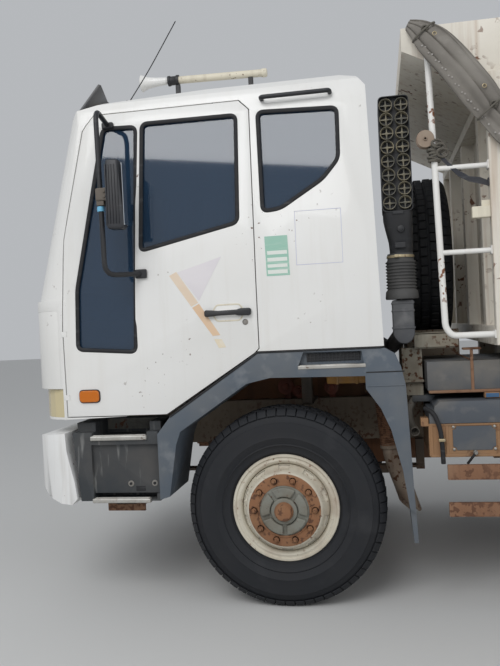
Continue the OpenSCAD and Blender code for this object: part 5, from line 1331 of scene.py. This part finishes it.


# boarding steps: metal treads with raised bars, bolts, the notch (a thin black plate, painted shade) and the bracket
# below

steps = {
    "upper": (0.754, 1.086, 0.955, 0.981), "lower": (0.746, 1.090, 0.602, 0.627),
    "bolts": [(0.867, 0.705), (0.727, 0.707)],
}
treads = []
for x0, x1, z0, z1 in (steps["upper"], steps["lower"]):
    treads.append(boxed("tread", (x0, halfW - 0.034, z0), (x1, halfW + 0.002, z1), 0.006))
    for k in range(4):
        treads.append(boxed("treadBar", (x0 + 0.012, halfW - 0.031 + k * 0.008, z1 - 0.001),
            (x1 - 0.012, halfW - 0.0275 + k * 0.008, z1 + 0.0025), 0.001))
    for k in range(9):
        treads.append(boxed("treadRib", (x0 + 0.02 + k * 0.0345, halfW - 0.001, z0 + 0.006),
            (x0 + 0.028 + k * 0.0345, halfW + 0.0035, z1 - 0.006), 0.0015))
treadPiece = joined("stepTreadsLeft", *treads)
bolts, heads = [], []
for x, z in steps["bolts"]:
    bolts.append(lathed("washer", [(0, -0.001), (0.0175, -0.001), (0.0175, 0.0025), (0.016, 0.004), (0, 0.004)],
        (x, halfW - 0.036, z), "y", 22))
    heads.append(lathed("boltHead", [(0, 0.003), (0.0085, 0.003), (0.0085, 0.0095), (0.007, 0.011), (0, 0.011)],
        (x, halfW - 0.036, z), "y", 6))
boltPiece = joined("stepBoltsLeft", *bolts)
# the notch is a thin black plate on the panel, painted shade of the notch; the bolt heads share its black
notch = joined("stepNotchLeft", boxed("notch", (0.783, halfW - 0.037, 0.662),
    (0.839, halfW - 0.0345, 0.690), 0.001), *heads)
under = [
    boxed("underPlate", (0.828, 1.02, 0.556), (1.055, 1.10, 0.604), 0.004),
    boxed("underLip", (0.828, 1.085, 0.522), (1.055, 1.10, 0.575), 0.003),
]
for x in (0.87, 1.01):
    under.append(lathed("underBolt", [(0, 0.0), (0.009, 0.0), (0.009, 0.008), (0, 0.009)], (x, 1.10, 0.545), "y", 6))
for piece, finish in ((treadPiece, "treadMetal"), (boltPiece, "bareSteel"), (notch, "rubber"),
        (joined("stepBracketLeft", *under), "rust")):
    bothSides(piece, "chassis", finish)
backing = boxed("stepBackingLeft", (0.760, halfW - 0.2595, 0.984), (1.074, halfW - 0.2570, 1.048), 0.001)
bothSides(backing, "chassis", "concreteGrey")
print("boarding steps made")


# exhaust: flexible section, clamp and a pipe cut off at a slant

exhaustLook = {"y": 0.760, "flex": 0.060, "pipe": 0.053, "ribs": 22, "wave": (0.0035, 0.0035, -0.004, -0.004)}
y = exhaustLook["y"]
top, foot = Vector((-0.567, y - 0.002, 1.085)), Vector((-0.592, y - 0.008, 0.815))
flexSpots = []
for k in range(exhaustLook["ribs"] * 4 + 1):
    spot = top.lerp(foot, k / (exhaustLook["ribs"] * 4))
    flexSpots.append((*spot, exhaustLook["flex"] + exhaustLook["wave"][k % 4]))
flex = tubed("exhaustFlex", flexSpots, 1.0, 28)
elbow = tubed("exhaustElbow", rounded([(-0.500, 0.312, 1.150), (-0.560, y, 1.140), (-0.568, y, 1.080)], 0.10, 8,
    closed=False), 0.058, 28)
flange = boxed("exhaustFlange", (-0.560, 0.301, 1.090), (-0.440, 0.324, 1.210), 0.004)
bands = [tubed("exhaustBand", [(*top.lerp(foot, end), exhaustLook["flex"] + 0.006) for end in (t, t + 0.07)],
    1.0, 28) for t in (-0.04, 0.97)]
pipe = tubed("exhaustPipe", [(-0.590, y - 0.008, 0.830, 0.057), (-0.596, y - 0.008, 0.770, 0.0555),
    (-0.610, y - 0.009, 0.700, exhaustLook["pipe"]), (-0.644, y - 0.01, 0.600, exhaustLook["pipe"]),
    (-0.700, y - 0.01, 0.420, exhaustLook["pipe"])], 1.0, 28, capped=False)
editMode(pipe)
bpy.ops.mesh.bisect(plane_co=fromAxle((-0.636, y, 0.487)), plane_no=(0.52, 0.42, -0.74), clear_outer=True)
objectMode()
modify(pipe, "SOLIDIFY", thickness=0.004, offset=-1)
wearOn(joined("exhaustFlex", flex, flange), "chassis", "rust", "exhaust")
wearOn(joined("exhaustPipe", elbow, pipe, *bands), "chassis", "burntSteel")
print("exhaust made")


# what shows in the wheel arch: filter housing, pulleys and a post for the mudguard

arch = {
    "filter": (-0.472, -0.241, 1.206, 1.268), "post": (-0.139, -0.077),
    # x, z, radius and depth of each pulley
    "pulleys": [(0.056, 1.160, 0.052, 0.09), (-0.020, 1.128, 0.034, 0.11), (-0.235, 1.145, 0.046, 0.10)],
}
x0, x1, z0, z1 = arch["filter"]
housing = [bevelled(boxed("filterBody", (x0, 0.86, z0), (x1, 0.955, z1), 0), 0.014, 3),
           boxed("filterBand", (x0 + 0.05, 0.855, z0 - 0.003), (x0 + 0.066, 0.960, z1), 0.002),
           boxed("filterBand", (x1 - 0.07, 0.855, z0 - 0.003), (x1 - 0.054, 0.960, z1), 0.002)]
wearOn(joined("filterHousing", *housing), "chassis", "ochrePaint")
post = [boxed("guardPost", (arch["post"][0], 0.700, 1.072), (arch["post"][1], 0.775, 1.310), 0.004),
        boxed("guardFoot", (arch["post"][0], 0.380, 1.0705), (arch["post"][1], 0.775, 1.086), 0.003)]
bothSides(joined("guardPostLeft", *post), "chassis", "cast")
wheels = []
for x, z, r, deep in arch["pulleys"]:
    wheels.append(lathed("pulley", [(0, -0.10), (0.02, -0.10), (0.02, 0), (r * 0.9, 0), (r, 0.004), (r, 0.012),
        (r * 0.86, 0.020), (r, 0.028), (r, 0.036), (r * 0.8, 0.040), (0.022, 0.040), (0.022, deep - 0.03),
        (0.012, deep - 0.026), (0, deep - 0.026)], (x, 0.440, z), "y", 28))
    wheels.append(boxed("pulleyFoot", (x - 0.02, 0.345, 1.0705), (x + 0.02, 0.375, z + 0.015), 0.003))
wearOn(joined("beltPulleys", *wheels), "chassis", "redOxide")
print("arch interior made")


# battery box front, hose, stub pipe and the long box's strap

battery = {
    "front": -0.790, "back": -1.498, "low": 0.826, "top": 0.999, "face": 1.186,
    "panels": [(-1.123, -0.906), (-1.400, -1.183)], "panelLow": 0.857, "panelTop": 0.984, "notch": 0.020,
}
frameParts = [
    boxed("boxFront", (battery["back"], battery["face"] - 0.008, battery["low"]),
        (battery["front"] - 0.002, battery["face"] + 0.004, battery["top"]), 0.004),
    boxed("boxRim", (battery["back"], battery["face"], battery["low"] - 0.004),
        (battery["front"], battery["face"] + 0.010, battery["low"] + 0.012), 0.003),
    boxed("boxRim", (battery["back"], battery["face"], battery["top"] - 0.012),
        (battery["front"], battery["face"] + 0.009, battery["top"]), 0.003),
]
for x in (battery["front"] - 0.016, -0.885, -1.145, -1.161, -1.422, battery["back"] + 0.001):
    frameParts.append(boxed("boxStile", (x, battery["face"], battery["low"]),
        (x + 0.015, battery["face"] + 0.008, battery["top"]), 0.003))
frameParts.append(boxed("boxEnd", (battery["front"] - 0.004, 0.70, battery["low"]),
    (battery["front"] + 0.006, battery["face"] + 0.006, battery["top"]), 0.003))
frameParts.append(boxed("boxLug", (battery["front"] + 0.004, 1.12, 0.985),
    (battery["front"] + 0.045, battery["face"] + 0.004, 1.030), 0.004))
wearOn(joined("batteryFrame", *frameParts), "chassis", "tanPaint")
panels, screws = [], []
z0, z1, n = battery["panelLow"], battery["panelTop"], battery["notch"]
for x0, x1 in battery["panels"]:
    shape = [(x1 - n, z1), (x0 + n, z1), (x0 + n * 0.7, z1 - n * 0.7), (x0, z1 - n), (x0, z0 + n),
        (x0 + n * 0.7, z0 + n * 0.7), (x0 + n, z0), (x1 - n, z0), (x1 - n * 0.7, z0 + n * 0.7), (x1, z0 + n),
        (x1, z1 - n), (x1 - n * 0.7, z1 - n * 0.7)]
    panels.append(bevelled(outlined("boxPanel", shape, "xz", battery["face"] + 0.003, 0.005), 0.0015, 1))
    for x in (x0 + 0.005, x1 - 0.005):
        for z in (z0 + 0.005, z1 - 0.005):
            screws.append(lathed("boxBolt", [(0, 0.002), (0.0085, 0.002), (0.0085, 0.006), (0.0045, 0.010),
                (0, 0.0105)], (x, battery["face"] + 0.002, z), "y", 12))
screws.append(lathed("boxFitting", [(0, 0), (0.012, 0), (0.012, 0.016), (0.008, 0.020), (0.008, 0.032), (0, 0.032)],
    (-1.017, battery["face"] + 0.004, 0.846), "y", 14))
wearOn(joined("batteryPanels", *panels), "chassis", "boxPlastic")
wearOn(joined("batteryBolts", *screws), "chassis", "bareSteel")
drainLine = [(-0.770, 1.16, 1.078), (-0.812, 1.205, 1.060), (-0.842, 1.209, 0.980), (-0.849, 1.209, 0.900),
    (-0.852, 1.200, 0.790)]
drain = tubed("drainPipe", rounded(drainLine, 0.05, 5, closed=False), 0.0125, 14)
leads = tubed("boxLead", rounded([(-1.015, 1.212, 0.844), (-0.998, 1.212, 0.822), (-0.975, 1.195, 0.787)], 0.02, 4,
    closed=False), 0.007, 10)
clip = boxed("hoseClip", (-0.866, 1.190, 0.908), (-0.831, 1.226, 0.924), 0.004)
wearOn(joined("drainPipe", drain, leads), "chassis", "rubber")
wearOn(clip, "chassis", "brassBand")
stub = tubed("stubPipe", [(-0.735, 0.860, 1.102, 0.021), (-0.700, 0.875, 1.045, 0.0215), (-0.700, 0.890, 0.990, 0.0215),
    (-0.709, 0.925, 0.952, 0.0215), (-0.718, 0.985, 0.938, 0.0215), (-0.7185, 0.988, 0.9378, 0.0265),
    (-0.721, 1.015, 0.933, 0.0265)], 1.0, 24, capped=False)
modify(stub, "SOLIDIFY", thickness=0.005, offset=-1)
wearOn(smoothed(stub, 50), "chassis", "tank")
strap = [
    boxed("longStrap", (-1.038, 1.099, 1.150), (-1.022, 1.104, 1.388), 0.0015),
    boxed("longStrapTop", (-1.038, 0.46, 1.319), (-1.022, 1.104, 1.3235), 0.0015),
    boxed("strapBar", (-1.081, 1.040, 1.378), (-0.987, 1.106, 1.389), 0.003),
    boxed("boxSill", (-1.690, 1.02, 1.150), (-0.800, 1.112, 1.1655), 0.004),
]
wearOn(joined("longBoxStrap", *strap), "chassis", "rust")
block = [
    boxed("wedgeCase", (-1.165, 1.075, 1.120), (-1.085, 1.130, 1.1495), 0.004),
    boxed("wedgeArm", (-1.14, 1.04, 1.117), (-1.11, 1.08, 1.152), 0.003),
]
wearOn(joined("wedgeCase", *block), "chassis", "tanPaint")
wearOn(boxed("wedgeFace", (-1.158, 1.129, 1.124), (-1.092, 1.1325, 1.146), 0.001), "chassis", "blueCase")
print("battery box and long box dressed")


# cab rest behind the cab: a weathered plate on its post

rest = [
    boxed("restBeam", (-0.986, 0.600, 1.385), (-0.744, 0.905, 1.394), 0.002),
    boxed("restFace", (-0.986, 0.893, 1.385), (-0.744, 0.905, 1.474), 0.003),
    boxed("restTop", (-0.986, 0.600, 1.464), (-0.744, 0.905, 1.474), 0.002),
    boxed("restPlate", (-0.785, 0.862, 1.119), (-0.672, 0.878, 1.392), 0.003),
    boxed("restLip", (-0.790, 0.862, 1.196), (-0.668, 0.905, 1.210), 0.003),
    boxed("restRib", (-0.785, 0.700, 1.119), (-0.773, 0.870, 1.392), 0.002),
]
for x, z in ((-0.96, 1.448), (-0.77, 1.448), (-0.765, 1.36), (-0.692, 1.36), (-0.728, 1.25)):
    rest.append(lathed("restBolt", [(0, 0), (0.010, 0), (0.010, 0.007), (0, 0.008)],
        (x, 0.905 if z > 1.4 else 0.878, z), "y", 6))
wearOn(joined("cabRest", *rest), "chassis", "weathered")
print("cab rest made")


# grille, headlamps and wipers

grilleLook = {"low": 1.185, "high": 1.585, "slats": 6, "half": 0.738, "wipers": [(0.62, 0.05), (-0.10, -0.67)]}
bars = []
for k in range(grilleLook["slats"]):
    z = grilleLook["low"] + 0.012 + k * 0.070
    slat = outlined("slat", [(1.432, z - 0.014), (1.462, z - 0.018), (1.474, z - 0.008), (1.474, z + 0.002),
        (1.462, z + 0.010), (1.436, z + 0.018)], "xz", -grilleLook["half"], grilleLook["half"] * 2)
    bars.append(bevelled(slat, 0.003, 2))
for y in (-0.72, -0.245, 0.245, 0.72):
    bars.append(boxed("slatPost", (1.420, y - 0.008, grilleLook["low"]), (1.446, y + 0.008, grilleLook["high"]), 0.003))
wearOn(joined("grilleSlats", *bars), "cab", "blackPlastic", "grille")
lampLook = {"x": (1.452, 1.505), "y": 0.760, "z": (0.762, 0.913), "bowls": (-0.068, 0.068), "lens": 0.058}
for side, word in ((1, "Left"), (-1, "Right")):
    (x0, x1), (z0, z1), middle = lampLook["x"], lampLook["z"], side * lampLook["y"]
    bowls, lenses = [boxed("lampCase", (x0, middle - 0.138, z0), (x0 + 0.012, middle + 0.138, z1), 0.004)], []
    for dy in lampLook["bowls"]:
        bowls.append(lathed("lampBowl", [(0.010, 0.012), (0.030, 0.016), (lampLook["lens"], 0.040),
            (lampLook["lens"] + 0.005, 0.044), (lampLook["lens"] + 0.007, 0.036), (0.032, 0.010), (0.010, 0.008)],
            (x0, middle + dy, (z0 + z1) / 2), "x", 28))
        lenses.append(lathed("lampBulb", [(0, 0.034), (0.007, 0.032), (0.009, 0.022), (0.006, 0.012), (0, 0.011)],
            (x0, middle + dy, (z0 + z1) / 2), "x", 14))
    glass = boxed("lampLens", (x1 - 0.010, middle - 0.137, z0 + 0.002), (x1 - 0.003, middle + 0.137, z1 - 0.002), 0.003)
    wearOn(joined("lampBowls" + word, *bowls, *lenses), "chassis", "mirrorFace", "lamps")
    wearOn(glass, "chassis", "clearLens")
    glass.name = "lampLens" + word


def noseSpot(y, z, lift=0.014):
    # where the cab's nose is met from the front, at y and z
    hits = []
    for mesh in (nodes["cab_shell"].data, nodes["cab_glass"].data):
        tree = BVHTree.FromPolygons([v.co for v in mesh.vertices], [tuple(p.vertices) for p in mesh.polygons])
        hits.append(tree.ray_cast(Vector((axleX + 4, y, z)), Vector((-1, 0, 0)))[0])
    return (max(spot.x for spot in hits if spot is not None) + lift - axleX, y, z)


wipers = []
for k, (y0, y1) in enumerate(grilleLook["wipers"]):
    low, high = noseSpot(y0, 1.775), noseSpot(y1, 1.880)
    far, near = noseSpot(y1 - 0.28, 1.868), noseSpot(y1 + 0.28, 1.886)
    wipers.append(lathed("wiperBoss", [(0, -0.012), (0.020, -0.012), (0.022, 0.004), (0.014, 0.018),
        (0, 0.020)], low, "x", 18))
    wipers.append(tubed("wiperArm", [low, tuple((Vector(low) + Vector(high)) / 2 + Vector((0.012, 0, 0))), high],
        0.006, 8))
    wipers.append(tubed("wiperBlade", [far, high, near], 0.007, 8))
wearOn(joined("wipers", *wipers), "cab", "blackPlastic")
print("front dressed")


# tail lamps, the fuel tank's straps and cap, the air tanks' bands

rear = {
    "x": (-5.675, -5.631), "y": 0.955, "half": 0.193, "z": (0.832, 0.938), "pitch": 0.012, "studs": (-0.12, 0.12),
    "lenses": [("amber", 0.118), ("redLens", 0.150), ("clearLens", 0.100)],
}
for side, word in ((1, "Left"), (-1, "Right")):
    (x0, x1), (z0, z1), middle, pitch = rear["x"], rear["z"], side * rear["y"], rear["pitch"]
    case = [boxed("tailCase", (x0 + 0.018, middle - rear["half"], z0), (x1, middle + rear["half"], z1), 0.006)]
    spot = rear["y"] + 0.187
    for finish, wide in rear["lenses"]:
        mid = side * (spot - wide / 2)
        lens = [boxed("tailLens", (x0 + 0.001, mid - wide / 2 + 0.004, z0 + 0.008),
            (x0 + 0.02, mid + wide / 2 - 0.004, z1 - 0.008), 0.005)]
        for k in range(int(wide / pitch) - 1):
            y = mid - wide / 2 + pitch + k * pitch
            lens.append(boxed("lensRib", (x0 - 0.001, y - 0.002, z0 + 0.014),
                (x0 + 0.003, y + 0.002, z1 - 0.014), 0.0008))
        spot -= wide + 0.002
        wearOn(joined("tail" + finish[0].upper() + finish[1:] + word, *lens), "chassis", finish)
    for dy in rear["studs"]:
        case.append(lathed("tailStud", [(0, 0), (0.006, 0), (0.006, 0.014), (0, 0.016)],
            (x1 - 0.002, middle + dy, (z0 + z1) / 2), "x", 10))
    wearOn(joined("tailCase" + word, *case), "chassis", "blackPlastic")

tankLook = {
    "y": -0.895, "z": 0.840, "half": (0.250, 0.260), "round": 0.055, "straps": (-1.30, -2.02), "cap": (-1.62, -0.97),
    "capRadius": 0.052, "grips": 14, "airBands": (-2.33, -2.00, -1.72),
}


def aroundTank(name, x, wide, lift, thick):
    # a band round the fuel tank
    def ring(out):
        a, b = tankLook["half"][0] + out, tankLook["half"][1] + out
        line = rounded([(-a, -b, 0), (a, -b, 0), (a, b, 0), (-a, b, 0)], tankLook["round"] + out, 6)
        return [(tankLook["y"] + p[0], tankLook["z"] + p[1]) for p in line]
    band = outlined(name, ring(lift + thick), "yz", x, wide)
    return cutBy(band, outlined("bandCutter", ring(lift), "yz", x - 0.01, wide + 0.02))


straps = [aroundTank("tankStrap", x - 0.03, 0.06, 0.001, 0.004) for x in tankLook["straps"]]
straps += [boxed("strapBolt", (x - 0.02, -0.70, 1.100), (x + 0.02, -0.63, 1.125), 0.003) for x in tankLook["straps"]]
(x, y), r = tankLook["cap"], tankLook["capRadius"]
cap = lathed("fillerCap", [(0, 0), (r * 0.8, 0), (r * 0.8, 0.016), (r, 0.018), (r, 0.040), (r * 0.92, 0.046),
    (r * 0.3, 0.048), (0, 0.048)], (x, y, 1.098), "z", 28)
grip = boxed("capGrip", (x + r - 0.003, y - 0.004, 1.118), (x + r + 0.003, y + 0.004, 1.137), 0.001)
grips = repeated(grip, tankLook["grips"], (x, y, 1.12), (0, 0, 1))
wearOn(joined("tankStraps", *straps), "chassis", "bareSteel")
wearOn(joined("fillerCap", cap, grips), "chassis", "blackPlastic")
bands = []
for y in (0.640, 0.900):
    for x in tankLook["airBands"]:
        bands.append(lathed("airBand", [(0.1185, -0.012), (0.121, -0.012), (0.121, 0.012),
            (0.1185, 0.012)], (x, y, 0.860), "x", 40))
wearOn(joined("airTankBands", *bands), "chassis", "bareSteel")
print("lamps and tanks dressed")


# strap from the ladder to the corner post, its rope turns and an old reel on the rail

tie = {
    "line": [(-0.872, 2.425), (-0.905, 2.398), (-0.945, 2.350), (-0.990, 2.300), (-1.045, 2.268),
        (-1.100, 2.252), (-1.142, 2.238)],
    "wide": 0.034, "y": halfW - 0.030, "turns": 7,
}


def railX(z):
    # the ladder's rail at a height
    (x, top), (foot, low) = ladder["head"], ladder["foot"]
    return x - (top - z) / (top - low) * (x - foot)


low = [(x, z - tie["wide"] / 2) for x, z in tie["line"]]
top = [(x, z + tie["wide"] / 2 * (0.6 + 0.4 * (k % 2))) for k, (x, z) in enumerate(tie["line"])]
strap = [outlined("tieStrap", low + top[::-1], "xz", tie["y"], 0.0035)]
strap.append(boxed("strapHook", (-1.1428, tie["y"] - 0.012, 2.222), (-1.136, tie["y"] + 0.016, 2.262), 0.002))
rope = []
for k in range(tie["turns"]):
    z = 2.372 + k * 0.013
    lean = 0.010 * math.sin(k * 2.1)
    turn = []
    for j in range(20):
        a = math.tau * j / 20
        r = 0.024 + 0.006 * math.sin(k * 1.7 + 2 * a)
        turn.append((railX(z) + r * math.cos(a), ladder["y"] + r * math.sin(a), z + lean * math.cos(a)))
    rope.append(tubed("ropeTurn", turn, 0.0075, 8, closed=True))
for k, (dx, dz) in enumerate(((0.030, 0.020), (0.042, -0.006), (0.018, 0.044))):
    loop = []
    for j in range(16):
        a = math.tau * j / 16
        loop.append((railX(2.42) - dx + 0.028 * math.cos(a), ladder["y"] + 0.022 + 0.012 * math.sin(a + k),
            2.415 + dz + 0.020 * math.sin(a)))
    rope.append(tubed("ropeLoop", loop, 0.0065, 8, closed=True))
reel = lathed("tieReel", [(0.006, -0.030), (0.044, -0.030), (0.046, -0.027), (0.044, -0.024), (0.020, -0.022),
    (0.020, 0.010), (0.044, 0.012), (0.046, 0.015), (0.044, 0.018), (0.012, 0.019), (0.010, 0.026), (0.006, 0.026)],
    (railX(2.485) + 0.040, ladder["y"] + 0.012, 2.487), "y", 30)
arm = boxed("reelArm", (railX(2.485) - 0.016, ladder["y"] - 0.022, 2.474),
    (railX(2.485) + 0.046, ladder["y"] - 0.016, 2.500), 0.002)
wearOn(joined("tieStrap", *strap), "load_body", "strapWeb")
wearOn(joined("tieRope", *rope), "load_body", "rope")
wearOn(joined("tieReel", reel, arm), "load_body", "burntSteel")
bracket = [boxed("postBracket", (-1.142, halfW - 0.052, 2.060), (-1.050, halfW - 0.006, 2.118), 0.004),
           boxed("bracketRib", (-1.142, halfW - 0.030, 2.118), (-1.10, halfW - 0.024, 2.150), 0.002)]
wearOn(joined("postBracket", *bracket), "load_body", "creamPaint")
print("tie strap made")


# studio and camera

studio = {
    "sky": 0.5, "keyPower": 520, "keyPlace": (4.5, 9.0, 8.0), "fillPower": 180, "fillPlace": (-7.0, 8.0, 5.0),
    "floor": 80, "aim": (0.8, 0.6, 1.3), "skyColour": (0.93, 0.96, 1.0, 1), "keySize": 6, "fillSize": 7,
}
bpy.ops.mesh.primitive_plane_add(size=studio["floor"], location=(0, 0, 0))
floor = bpy.context.object
floor.name = "studioFloor"
placed(floor)
floor.data.materials.append(newFinish("studioFloorFinish", (0.62, 0.62, 0.61), 0.9))
world = bpy.data.worlds.new("studio")
bpy.context.scene.world = world
world.use_nodes = True
world.node_tree.nodes["Background"].inputs[0].default_value = studio["skyColour"]
world.node_tree.nodes["Background"].inputs[1].default_value = studio["sky"]
for label in ("key", "fill"):
    place = studio[label + "Place"]
    bpy.ops.object.light_add(type="AREA", location=place)
    lamp = bpy.context.object
    lamp.name = label + "Light"
    lamp.data.energy = studio[label + "Power"]
    lamp.data.size = studio[label + "Size"]
    lamp.rotation_euler = (Vector(studio["aim"]) - Vector(place)).to_track_quat("-Z", "Y").to_euler()
bpy.context.scene.view_settings.view_transform = "Standard"

view = {"place": (1.800, 5.120, 1.567), "yaw": 10.06, "pitch": -0.63, "roll": -2.82, "lens": 39.26}
yaw, pitch, roll = (math.radians(view[k]) for k in ("yaw", "pitch", "roll"))
ahead = Vector((math.sin(yaw) * math.cos(pitch), -math.cos(yaw) * math.cos(pitch), math.sin(pitch)))
level = ahead.cross(Vector((0, 0, 1))).normalized()
across = math.cos(roll) * level + math.sin(roll) * level.cross(ahead)
upward = -math.sin(roll) * level + math.cos(roll) * level.cross(ahead)
bpy.ops.object.camera_add()
camera = bpy.context.object
camera.matrix_world = Matrix.Translation(view["place"]) @ Matrix((across, upward, -ahead)).transposed().to_4x4()
camera.data.sensor_fit = "VERTICAL"
camera.data.sensor_height = 36
camera.data.lens = view["lens"]
camera.data.clip_end = 200
bpy.context.scene.camera = camera
print("studio and camera placed")
